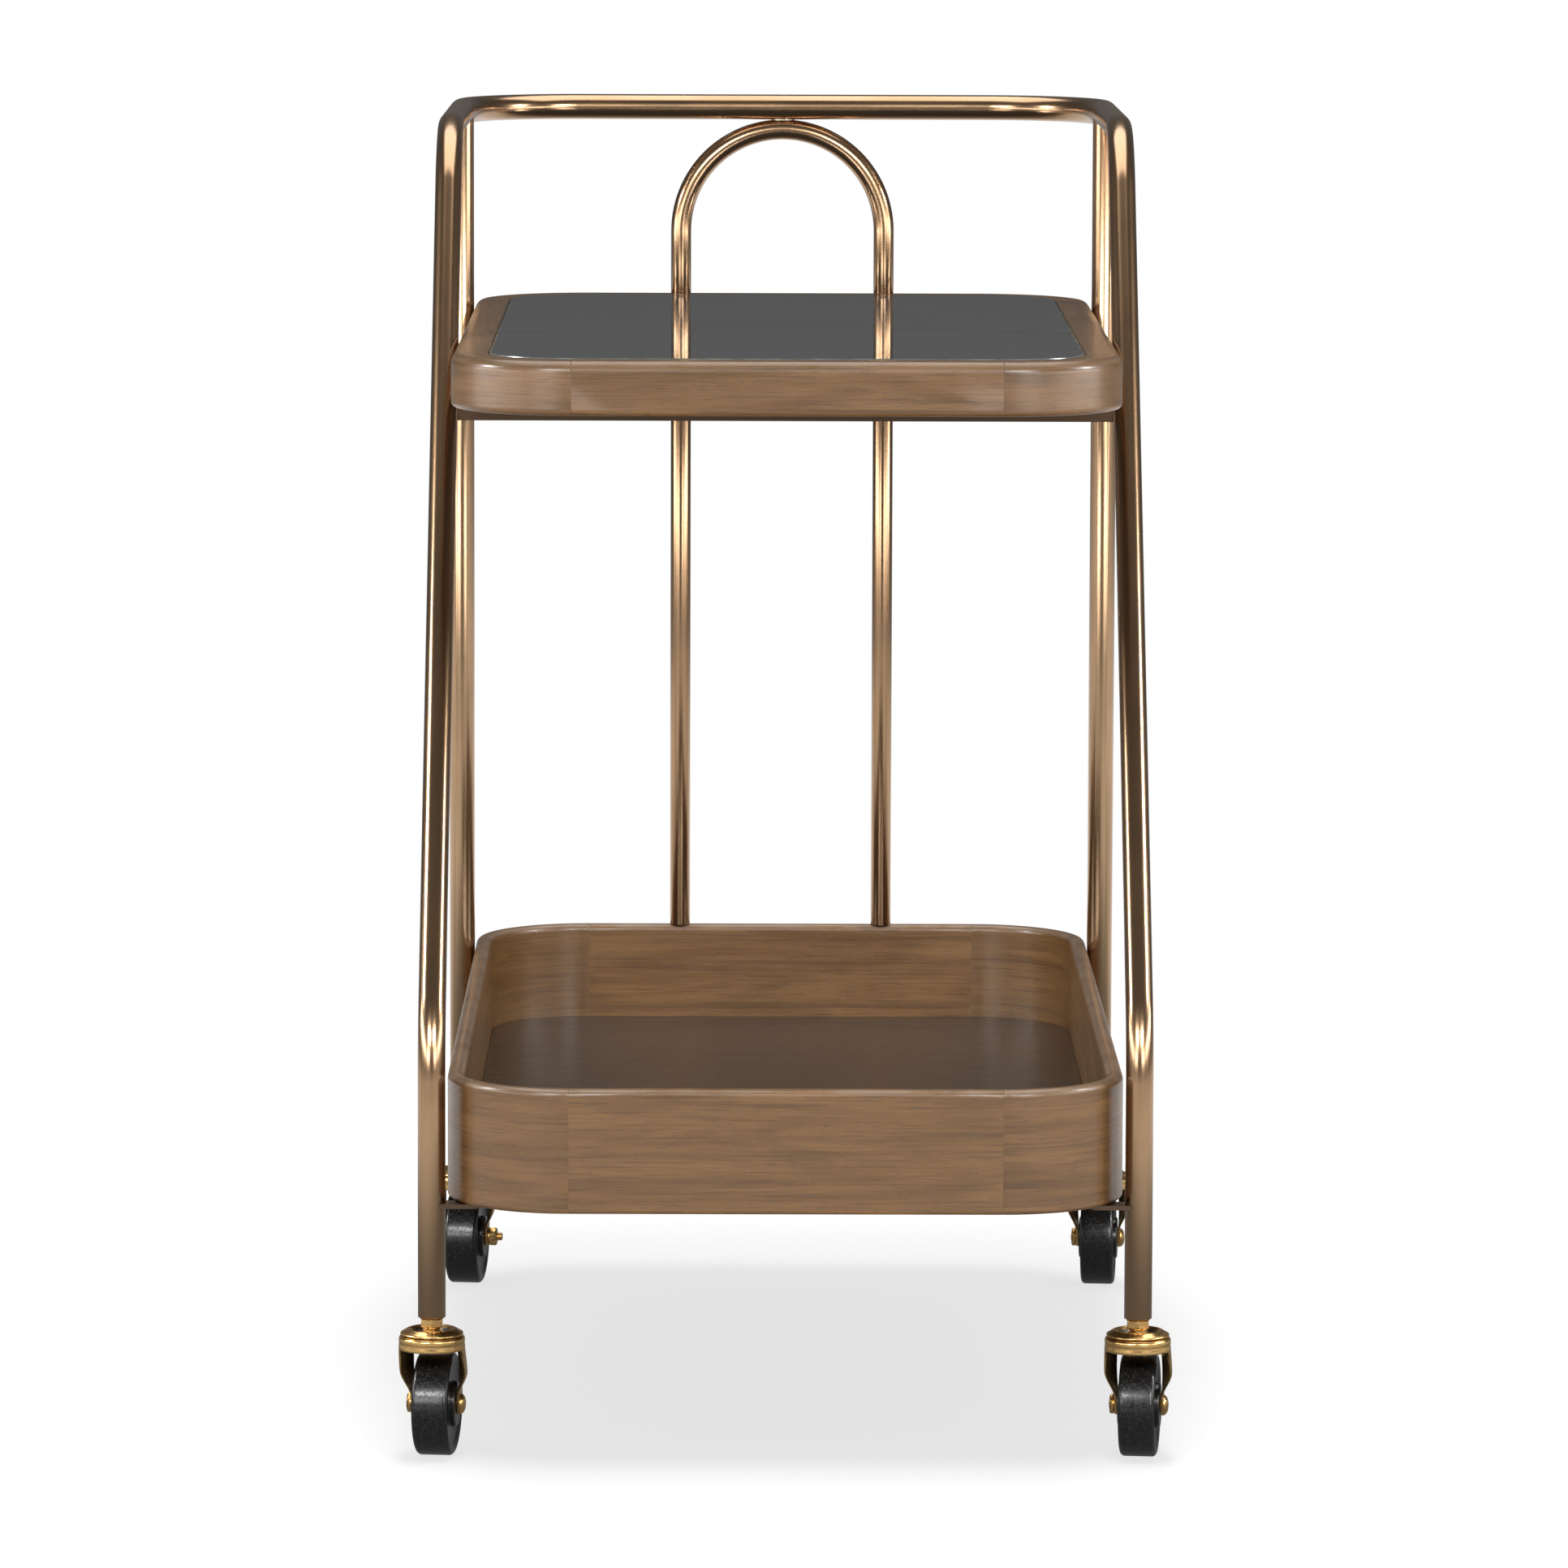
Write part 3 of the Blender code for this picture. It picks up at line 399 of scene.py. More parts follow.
def skin(bm, rings, along, around, ring_loop=False):
    """Faces over equal closed rings of points, with UVs in metres: along per ring, around per point.

    The first and last ring are joined if ring_loop, or else capped.
    """
    uv = bm.loops.layers.uv.verify()
    count = len(rings[0])
    made = [[bm.verts.new(point) for point in ring] for ring in rings]
    last = len(made) if ring_loop else len(made) - 1
    for i in range(last):
        j = (i + 1) % len(made)
        along_j = along[j] if j else along[-1] + (Vector(rings[0][0]) - Vector(rings[-1][0])).length
        for k in range(count):
            m = (k + 1) % count
            add_face(bm, uv, ((made[i][k], along[i], around[k]), (made[i][m], along[i], around[k + 1]),
                              (made[j][m], along_j, around[k + 1]), (made[j][k], along_j, around[k])))
    if not ring_loop:
        for ring, u in ((made[0], along[0]), (made[-1], along[-1])):
            add_face(bm, uv, [(vertex, u, v) for vertex, v in zip(ring, around)])


def lengths(points, closed=False):
    """Distance run along a list of points, and once more round to the first where closed."""
    run = [0.0]
    for a, b in zip(points, points[1:]):
        run.append(run[-1] + (Vector(b) - Vector(a)).length)
    if closed:
        run.append(run[-1] + (Vector(points[0]) - Vector(points[-1])).length)
    return run


def bent_path(corners, radii):
    """Turn a polyline into a path whose inner corners are arcs of the given radii."""
    path = [Vector(corners[0])]
    for before, corner, after, radius in zip(corners, corners[1:], corners[2:], radii):
        corner = Vector(corner)
        arriving = (corner - Vector(before)).normalized()
        leaving = (Vector(after) - corner).normalized()
        turn = arriving.angle(leaving)
        start = corner - arriving * radius * math.tan(turn / 2)
        across = (leaving - arriving * arriving.dot(leaving)).normalized()
        steps = round(math.degrees(turn) / BEND_STEP)
        for step in range(steps + 1):
            angle = turn * step / steps
            point = start + arriving * radius * math.sin(angle) + across * radius * (1 - math.cos(angle))
            if (point - path[-1]).length > 1e-6:
                path.append(point)
    path.append(Vector(corners[-1]))
    return path


def end_rounding(path):
    """The path with short steps at both ends, and how far each ring draws in there."""
    steps = (0.0, MID_ROUND * EDGE_LIP, EDGE_LIP)
    draws = (EDGE_LIP, MID_ROUND * EDGE_LIP, 0.0)
    first = (path[1] - path[0]).normalized()
    last = (path[-2] - path[-1]).normalized()
    points = [path[0] + first * s for s in steps] + path[1:-1]
    points += [path[-1] + last * s for s in reversed(steps)]
    drawn = list(draws) + [0.0] * (len(path) - 2) + list(reversed(draws))
    return points, drawn


def tube(name, path, radius, wall, normal, top_shape=None, marks=None):
    """A hollow brass tube with rounded cut ends. top_shape gives the height of the last rings' points."""
    points, drawn = end_rounding(path)
    run = lengths(points)
    normal = Vector(normal)
    axes = []
    for index, point in enumerate(points):
        tangent = (points[min(index + 1, len(points) - 1)] - points[max(index - 1, 0)]).normalized()
        normal = (normal - tangent * normal.dot(tangent)).normalized()
        axes.append((normal.copy(), tangent.cross(normal)))

    def circle(index, size):
        a, b = axes[index]
        ring = []
        for number in range(TUBE_SIDES):
            angle = math.tau * number / TUBE_SIDES
            ring.append(points[index] + (a * math.cos(angle) + b * math.sin(angle)) * size)
        return ring

    outer = [circle(i, radius - drawn[i]) for i in range(len(points))]
    inner = [circle(i, radius - wall) for i in range(len(points))]
    if top_shape:
        for rings in (outer, inner):
            for depth, ring in enumerate(reversed(rings[-3:])):
                for point in ring:
                    point.z = top_shape(point) - depth * 0.5 * EDGE_LIP
    rings = outer + list(reversed(inner))
    along = run + list(reversed(run))
    around = [math.tau * radius * number / TUBE_SIDES for number in range(TUBE_SIDES + 1)]
    bm = bmesh.new()
    skin(bm, rings, along, around, ring_loop=True)
    finish_piece(name, bm, [TUBE_BRASS], marks=marks)


def spin(bm, profile, segments, closed=False, girth=None):
    """Spin a profile of (radius, height[, is_hexagon]) about Z. Radius 0 makes a pole.

    The UVs run round the axis at the girth, or else at each strip's larger radius. Returns the rows
    of vertices with their distance along the profile and their radius.
    """
    uv = bm.loops.layers.uv.verify()
    rows = []
    run = 0.0
    before = None
    for radius, height, *hexagon in profile:
        if before is not None:
            run += math.hypot(radius - before[0], height - before[1])
        before = (radius, height)
        ring = []
        for number in range(segments if radius else 1):
            angle = math.tau * number / segments
            reach = radius
            if hexagon:
                off = (angle + 1e-9) % (math.pi / 3) - math.pi / 6
                reach = radius * math.cos(math.pi / 6) / math.cos(off)
            ring.append(bm.verts.new((reach * math.cos(angle), reach * math.sin(angle), height)))
        rows.append((ring, run, radius))
    if closed:
        rows.append((rows[0][0], run + 0.001, rows[0][2]))
    for (ring_a, run_a, radius_a), (ring_b, run_b, radius_b) in zip(rows, rows[1:]):
        reach = girth or max(radius_a, radius_b)
        for number in range(segments):
            following = (number + 1) % segments
            a, b = math.tau * reach * number / segments, math.tau * reach * (number + 1) / segments
            if len(ring_a) == 1:
                corners = ((ring_a[0], a, run_a), (ring_b[following], b, run_b), (ring_b[number], a, run_b))
            elif len(ring_b) == 1:
                corners = ((ring_a[number], a, run_a), (ring_a[following], b, run_a), (ring_b[0], a, run_b))
            else:
                corners = ((ring_a[number], a, run_a), (ring_a[following], b, run_a),
                           (ring_b[following], b, run_b), (ring_b[number], a, run_b))
            add_face(bm, uv, corners)
    return rows


def turned(profile, segments=TURNED_SEGMENTS, closed=False):
    """A new bmesh with the profile spun about Z."""
    bm = bmesh.new()
    spin(bm, profile, segments, closed)
    return bm


def fillet(x, y, radius, first, last, steps=5):
    """Points of an arc about (x, y), for rounding a turned profile."""
    arc = []
    for step in range(steps + 1):
        angle = math.radians(first + (last - first) * step / steps)
        arc.append((x + radius * math.cos(angle), y + radius * math.sin(angle)))
    return arc


def at(height, *points):
    """Profile points given as (radius, rise above the height[, is_hexagon])."""
    return [(radius, height + rise, *hexagon) for radius, rise, *hexagon in points]


def rounded_section(width, bottom, top, roundings, steps=6):
    """Outline of a wall section as (distance in from the outer face, height)."""
    corners = ((0.0, bottom, 180), (width, bottom, 270), (width, top, 0), (0.0, top, 90))
    outline = []
    for (inward, height, first_angle), radius in zip(corners, roundings):
        centre_in = radius if inward == 0.0 else width - radius
        centre_up = bottom + radius if height == bottom else top - radius
        arc = fillet(centre_in, centre_up, radius, first_angle, first_angle + 90, steps)
        first, last = math.radians(first_angle), math.radians(first_angle + 90)
        lead = (arc[0][0] + SUPPORT * math.sin(first), arc[0][1] - SUPPORT * math.cos(first))
        trail = (arc[-1][0] - SUPPORT * math.sin(last), arc[-1][1] + SUPPORT * math.cos(last))
        outline += [lead] + arc + [trail]
    return outline


# ---------------------------------------------------------------- wooden trays

def ended(rings, along):
    """The rings with their end edges slightly rounded, so that joints show as fine lines."""
    def shrink(ring):
        middle = sum((Vector(p) for p in ring), Vector()) / len(ring)
        return [Vector(p) + (middle - Vector(p)).normalized() * SEAM_ROUND for p in ring]

    start = (Vector(rings[1][0]) - Vector(rings[0][0])).normalized() * SEAM_ROUND
    finish = (Vector(rings[-2][0]) - Vector(rings[-1][0])).normalized() * SEAM_ROUND
    full = [shrink(rings[0]), [Vector(p) + start for p in rings[0]]] + rings[1:-1]
    full += [[Vector(p) + finish for p in rings[-1]], shrink(rings[-1])]
    along = [along[0], along[0] + SEAM_ROUND] + along[1:-1] + [along[-1] - SEAM_ROUND, along[-1]]
    return full, along


def wooden_wall(prefix, piece, front, section, tones_and_shading, wear_and_highlight_test):
    """Four straight boards and the four curved corner blocks between them."""
    half_width, back, radius = TRAY_HALF_WIDTH, TRAY_BACK, TRAY_CORNER_RADIUS
    around = lengths([(u, z, 0.0) for u, z in section], closed=True)
    reach, low, high = half_width - radius - SEAM, front + radius + SEAM, back - radius - SEAM
    rows = (
        ("left", (-half_width, low), (-half_width, high), (1, 0)),
        ("right", (half_width, low), (half_width, high), (-1, 0)),
        ("front", (-reach, front), (reach, front), (0, 1)),
        ("back", (-reach, back), (reach, back), (0, -1)),
    )
    number = 0
    for side, start, end, inward in rows:
        rings = []
        for step in range(BOARD_STEPS + 1):
            x = start[0] + (end[0] - start[0]) * step / BOARD_STEPS
            y = start[1] + (end[1] - start[1]) * step / BOARD_STEPS
            rings.append([Vector((x + inward[0] * u, y + inward[1] * u, z)) for u, z in section])
        add_wood(f"{prefix}_{piece}_{side}", rings, around, number, tones_and_shading, wear_and_highlight_test)
        number += 1
    for side_y, y, turn_y in (("front", front + radius, -1), ("back", back - radius, 1)):
        for side_x, turn_x in SIDES:
            x = turn_x * (half_width - radius)
            rings = []
            for step in range(CORNER_STEPS + 1):
                angle = math.pi / 2 * step / CORNER_STEPS
                across = (turn_x * math.cos(angle), turn_y * math.sin(angle))
                rings.append([Vector((x + across[0] * (radius - u), y + across[1] * (radius - u), z))
                              for u, z in section])
            add_wood(f"{prefix}_corner_{side_y}_{side_x}", rings, around, number, tones_and_shading, wear_and_highlight_test)
            number += 1


def add_wood(name, rings, around, number, tones_and_shading, wear_and_highlight_test):
    """One board or corner block with its own colour scale, which also carries painted shade and light for
    where it sits, and stretch of grain.
    """
    run = lengths([ring[0] for ring in rings])
    shift = UV_STRIDE * (number + 1) * (1.0 if name.startswith("upper") else LOWER_UV_STRIDE)
    rings, along = ended(rings, [u + shift for u in run])
    around = [v + UV_SIDE_STRIDE * number for v in around]
    bm = bmesh.new()
    skin(bm, rings, along, around)
    tone_and_shade = tones_and_shading[number % len(tones_and_shading)]
    finish_piece(f"{name}_wood", bm, [WALNUT], marks=lambda point: (tone_and_shade, wear_and_highlight_test(point)))


def panel(name, node, inset, front, bottom, top, arris, materials):
    """A flat panel with round corners and broken edges; its rim takes the last material."""
    half_width, radius = TRAY_HALF_WIDTH - inset, TRAY_CORNER_RADIUS - inset
    front, back = front + inset, TRAY_BACK - inset
    outline = []
    for turn_x, turn_y, first in ((1, 1, 0), (-1, 1, 90), (-1, -1, 180), (1, -1, 270)):
        x = turn_x * (half_width - radius)
        y = (back - radius) if turn_y > 0 else (front + radius)
        for step in range(CORNER_STEPS + 1):
            angle = math.radians(first + 90 * step / CORNER_STEPS)
            outline.append((x, y, math.cos(angle), math.sin(angle)))
    part = arris * MID_ROUND
    levels = [(bottom, radius - arris), (bottom + part, radius - part), (bottom + arris, radius),
              (top - arris, radius), (top - part, radius - part), (top, radius - arris)]
    rings = []
    for height, reach in levels:
        rings.append([Vector((x + dx * reach, y + dy * reach, height)) for x, y, dx, dy in outline])
    bm = bmesh.new()
    around = lengths(rings[2], closed=True)
    skin(bm, rings, [height - bottom for height, _ in levels], around)
    uv = bm.loops.layers.uv.verify()
    for face in bm.faces:
        if len(face.verts) > 4:
            for loop in face.loops:
                loop[uv].uv = (loop.vert.co.x + 5.0, loop.vert.co.y)
        elif len(materials) > 1:
            face.material_index = 1
            for loop in face.loops:
                loop[uv].uv = (loop[uv].uv.y, loop[uv].uv.x)
    finish_piece(name, bm, materials, node)


def build_trays():
    upper = rounded_section(UPPER_RAIL_WIDTH, UPPER_BOTTOM, UPPER_TOP, (0.004, 0.002, 0.002, 0.007))

    # pale line along the rail's rounded top: partly wear, partly a painted highlight
    def upper_edge(point):
        high = max(0.0, 1.0 - abs(point.z - (UPPER_TOP - 0.0025)) / 0.0022)
        return 0.6 * high

    # Colour scale per board: left, right, front, back, then corners front left, front right, back left, back
    # right; the front board and front corners carry painted shade.
    wooden_wall("upper", "rail", UPPER_FRONT, upper,
                (0.95, 0.98, 0.88, 0.94, 0.86, 0.84, 0.92, 0.90), upper_edge)
    inset = UPPER_RAIL_WIDTH + GAP
    panel("upper_deck_wood", "upper_deck_panel", inset, UPPER_FRONT, DECK_TOP - DECK_THICKNESS, DECK_TOP,
          0.0006, [FLOOR_WOOD])
    inset = UPPER_RAIL_WIDTH + 2 * GAP
    panel("glass_mirror", "glass_panel", inset, UPPER_FRONT, GLASS_TOP - GLASS_THICKNESS, GLASS_TOP,
          0.0008, [GLASS, GLASS_EDGE])
    reach_x = TRAY_HALF_WIDTH - inset - BUMPER_EDGE_DISTANCE
    for row, y in (("front", UPPER_FRONT + inset + BUMPER_EDGE_DISTANCE),
                   ("back", TRAY_BACK - inset - BUMPER_EDGE_DISTANCE)):
        for side, sign in SIDES:
            bottom, top = DECK_TOP, GLASS_TOP - GLASS_THICKNESS
            profile = [(0.0, top), (0.0032, top)] + fillet(0.0032, top - 0.0012, 0.0012, 90, 0)
            profile += [(BUMPER_RADIUS, bottom + 0.0002), (BUMPER_RADIUS, bottom), (0.0, bottom)]
            bm = turned(profile)
            finish_piece(f"glass_bumper_{row}_{side}_pad", bm, [BUMPER],
                         place=Matrix.Translation((sign * reach_x, y, 0.0)))

    lower = rounded_section(LOWER_WALL, LOWER_BOTTOM, LOWER_TOP, (0.002, 0.002, 0.0045, 0.0045))

    # pale line along the board's rounded top edges: partly wear, partly a painted highlight
    def lower_edge(point):
        return max(0.0, 1.0 - abs(point.z - (LOWER_TOP - 0.0012)) / 0.0022)

    # Same order: the front board and front corners carry painted shade, and the back board seen from inside
    # carries painted light.
    wooden_wall("lower", "board", LOWER_FRONT, lower,
                (0.96, 0.96, 0.90, 1.08, 0.84, 0.85, 0.95, 0.95), lower_edge)
    inset = LOWER_WALL + GAP / 2
    panel("lower_floor_wood", "lower_floor_panel", inset, LOWER_FRONT, FLOOR_TOP - FLOOR_THICKNESS, FLOOR_TOP,
          0.0005, [FLOOR_WOOD])


# ---------------------------------------------------------------- tube frame and supports

def front_leg_y(height):
    """Where the leaning part of the front leg is at a height."""
    lean = (UPPER_BEND_Y - FRONT_LEG_Y) / (HANDLE_Z - LOWER_BEND_Z)
    return FRONT_LEG_Y + (height - LOWER_BEND_Z) * lean


def build_frame():
    corners = [
        (-LEG_X, FRONT_LEG_Y, LEG_BOTTOM),
        (-LEG_X, FRONT_LEG_Y, LOWER_BEND_Z),
        (-LEG_X, UPPER_BEND_Y, HANDLE_Z),
        (-LEG_X, HANDLE_Y, HANDLE_Z),
    ]
    corners += [(-x, y, z) for x, y, z in reversed(corners)]
    radii = [LOWER_BEND_RADIUS, UPPER_BEND_RADIUS, HANDLE_CORNER_RADIUS]
    path = bent_path(corners, radii + list(reversed(radii)))

    def cut_edge(point):
        return 1.0, max(0.0, 1.0 - (point.z - LEG_BOTTOM) / 0.0006)

    tube("handle_frame_tube", path, TUBE_RADIUS, TUBE_WALL, (1, 0, 0), marks=cut_edge)
    for side, sign in SIDES:
        axis_x = sign * LEG_X

        def under_handle(point, axis_x=axis_x):
            saddle = TUBE_RADIUS - 0.0001
            return HANDLE_Z - math.sqrt(saddle ** 2 - min((point.x - axis_x) ** 2, saddle ** 2))

        path = [Vector((axis_x, BACK_LEG_Y, LEG_BOTTOM)),
                Vector((axis_x, BACK_LEG_Y, HANDLE_Z - TUBE_RADIUS))]
        tube(f"back_leg_{side}_tube", path, TUBE_RADIUS, TUBE_WALL, (1, 0, 0), under_handle, cut_edge)

    crown = HANDLE_Z - TUBE_RADIUS - HOOP_TUBE_RADIUS
    corners = [(-HOOP_RADIUS, HOOP_Y, UPPER_TOP), (-HOOP_RADIUS, HOOP_Y, crown),
               (HOOP_RADIUS, HOOP_Y, crown), (HOOP_RADIUS, HOOP_Y, UPPER_TOP)]
    path = bent_path(corners, [HOOP_RADIUS, HOOP_RADIUS])
    tube("hoop_tube", path, HOOP_TUBE_RADIUS, HOOP_TUBE_WALL, (0, 1, 0))
    for side, sign in SIDES:
        ends = [Vector((sign * HOOP_RADIUS, HOOP_Y, height)) for height in (LOWER_TOP, UPPER_BOTTOM)]
        tube(f"hoop_post_{side}_tube", ends, HOOP_TUBE_RADIUS, HOOP_TUBE_WALL, (0, 1, 0))

    for face, sign in (("front", -1), ("back", 1)):
        half = WELD_HALF_LENGTH
        profile = [(0.0, half)]
        for step in range(1, 40):
            x = half * (1 - step / 20)
            humps = math.exp(-((x - 0.0031) / 0.0014) ** 2) + math.exp(-((x + 0.0031) / 0.0014) ** 2)
            profile.append((0.0004 + 0.0009 * humps, x))
        profile.append((0.0, -half))
        bm = turned(profile, WELD_SEGMENTS)
        y = (HOOP_Y + HANDLE_Y) / 2 + sign * 0.0042
        place = Matrix.Translation((0.0, y, HANDLE_Z - TUBE_RADIUS - 0.0001))
        place = place @ Matrix.Rotation(math.pi / 2, 4, "Y")
        finish_piece(f"hoop_weld_{face}_bead", bm, [WELD], place=place)


def bevelled(bm, width, segments=3):
    """Round the sharp edges."""
    sharp = [edge for edge in bm.edges if edge.calc_face_angle(0.0) > math.radians(40)]
    bmesh.ops.bevel(bm, geom=sharp, offset=width, segments=segments, affect="EDGES", profile=0.6)


def planar_uv(bm, u_axis, v_axis):
    """UVs from two axes, with some of the third so that no face smears."""
    uv = bm.loops.layers.uv.verify()
    for face in bm.faces:
        for loop in face.loops:
            point = loop.vert.co
            loop[uv].uv = (point[u_axis] + 0.3 * point[3 - u_axis - v_axis], point[v_axis])


def prism(outline, bottom, top):
    """A bmesh prism over an outline of (x, y)."""
    bm = bmesh.new()
    low = [bm.verts.new((x, y, bottom)) for x, y in outline]
    high = [bm.verts.new((x, y, top)) for x, y in outline]
    bm.faces.new(low)
    bm.faces.new(list(reversed(high)))
    for number in range(len(outline)):
        following = (number + 1) % len(outline)
        bm.faces.new((low[number], low[following], high[following], high[number]))
    return bm


def build_supports():
    bar_top = UPPER_BOTTOM
    reach = LEG_X - TUBE_RADIUS
    for side, y in (("front", front_leg_y(bar_top - CROSSBAR_HEIGHT / 2)), ("back", BACK_LEG_Y)):
        half = CROSSBAR_THICKNESS / 2
        outline = ((-reach, y - half), (reach, y - half), (reach, y + half), (-reach, y + half))
        bm = prism(outline, bar_top - CROSSBAR_HEIGHT, bar_top)
        bevelled(bm, 0.0012)
        planar_uv(bm, 0, 2)
        finish_piece(f"upper_crossbar_{side}_bar", bm, [SHADED_BAR_BRASS])
    for side, leg_y in (("front", FRONT_LEG_Y), ("back", BACK_LEG_Y)):
        for hand, sign in SIDES:
            outline = []
            for step in range(13):
                y = TAB_HALF_WIDTH * (step / 6 - 1)
                outline.append((sign * (LEG_X - math.sqrt(TUBE_RADIUS ** 2 - y ** 2)), leg_y + y))
            inner = LEG_X - TUBE_RADIUS - TAB_LENGTH + TAB_HALF_WIDTH
            for step in range(25):
                angle = math.radians(90 + 7.5 * step)
                outline.append((sign * (inner + TAB_HALF_WIDTH * math.cos(angle)),
                                leg_y + TAB_HALF_WIDTH * math.sin(angle)))
            bm = prism(outline, LOWER_BOTTOM - TAB_THICKNESS, LOWER_BOTTOM)
            bevelled(bm, 0.0004, 2)
            planar_uv(bm, 0, 1)
            finish_piece(f"lower_tab_{side}_{hand}_plate", bm, [SHADED_BAR_BRASS])


# ---------------------------------------------------------------- casters

def stem_profile():
    """Plug, chamfered lock nut, flared collar, kingpin and its riveted end."""
    nut_top = LEG_BOTTOM - GAP
    nut_bottom = RACE_TOP + 0.0034
    plug = TUBE_RADIUS - TUBE_WALL - GAP
    plug_top = nut_top + 0.025
    pin_end = RING_TOP - FORK_THICKNESS - GAP
    corner = NUT_CORNER_RADIUS
    profile = [(0.0, plug_top), (plug - 0.0008, plug_top), (plug, plug_top - 0.0008), (plug, nut_top)]
    profile += at(nut_top, (corner - 0.0011, 0.0), (corner - 0.0009, -0.0001),
                  (corner - 0.0003, -0.0006), (corner, -0.0010, True))
    profile += at(nut_bottom, (corner, 0.0010, True), (corner - 0.0003, 0.0006), (corner - 0.0009, 0.0001),
                  (0.0066, 0.0), (0.0061, -0.0003), (0.0059, -0.0010))
    profile += at(RACE_TOP, (0.0060, 0.0012), (0.0067, 0.0006), (0.0075, 0.00025), (0.0078, 0.0001),
                  (0.0078, 0.0), (KINGPIN_RADIUS, -0.00001))
    profile += at(pin_end, (KINGPIN_RADIUS, 0.0), (0.0066, -0.00001), (0.0070, -0.0004), (0.0066, -0.0011),
                  (0.0045, -0.0016), (0.0, -0.0018))
    return profile


def race_profile():
    """Dished cap: a flat bowl round the collar, a rolled ridge and a falling rim with a lip."""
    bowl = RACE_TOP - GAP
    bottom = bowl - 0.0009
    hole = KINGPIN_RADIUS + GAP
    profile = at(bottom, (hole, 0.0))
    profile += at(bowl, (hole, 0.0), (0.0100, 0.0), (0.0108, 0.0001), (0.0116, 0.0005), (0.0126, 0.0013),
                  (0.0134, 0.0022), (0.0140, 0.0027), (0.0148, 0.0030), (0.0156, 0.0030), (0.0163, 0.0028),
                  (0.0174, 0.0021), (0.0186, 0.0014), (0.0196, 0.0009), (0.0202, 0.0005),
                  (RACE_RADIUS, 0.0), (RACE_RADIUS, -0.0004))
    return profile + at(bottom, (0.0202, 0.0), (0.0190, -0.00005))


def blade_point(down, share):
    """A point on the fork blade's outer face: down 0 at the ring to 1 at the axle, share -1 to 1."""
    spread = 1.0
    if down < BLADE_FLARE_DEPTH:
        flare = 1.0 - down / BLADE_FLARE_DEPTH
        spread = 1.0 + BLADE_FLARE * (1.0 - math.sqrt(1.0 - flare ** 2))
    angle = math.radians(BLADE_ANGLE + BLADE_HALF_ANGLE * share * spread)
    inward = min(max((down - BLADE_TURNS_IN) / (BLADE_FLAT_FROM - BLADE_TURNS_IN), 0.0), 1.0)
    ease = inward * inward * (3 - 2 * inward)
    bulge = BLADE_BULGE * math.sin(math.pi * min(down / BLADE_FLAT_FROM, 1.0))
    x_ring = RING_RADIUS * math.cos(angle)
    y_ring = RING_RADIUS * math.sin(angle)
    y_axle = CASTER_TRAIL + FORK_END_RADIUS * share
    height = RING_BOTTOM + (WHEEL_RADIUS - RING_BOTTOM) * down
    x = x_ring + (FORK_HALF_WIDTH - x_ring) * ease + bulge
    return Vector((x, y_ring + (y_axle - y_ring) * down, height))


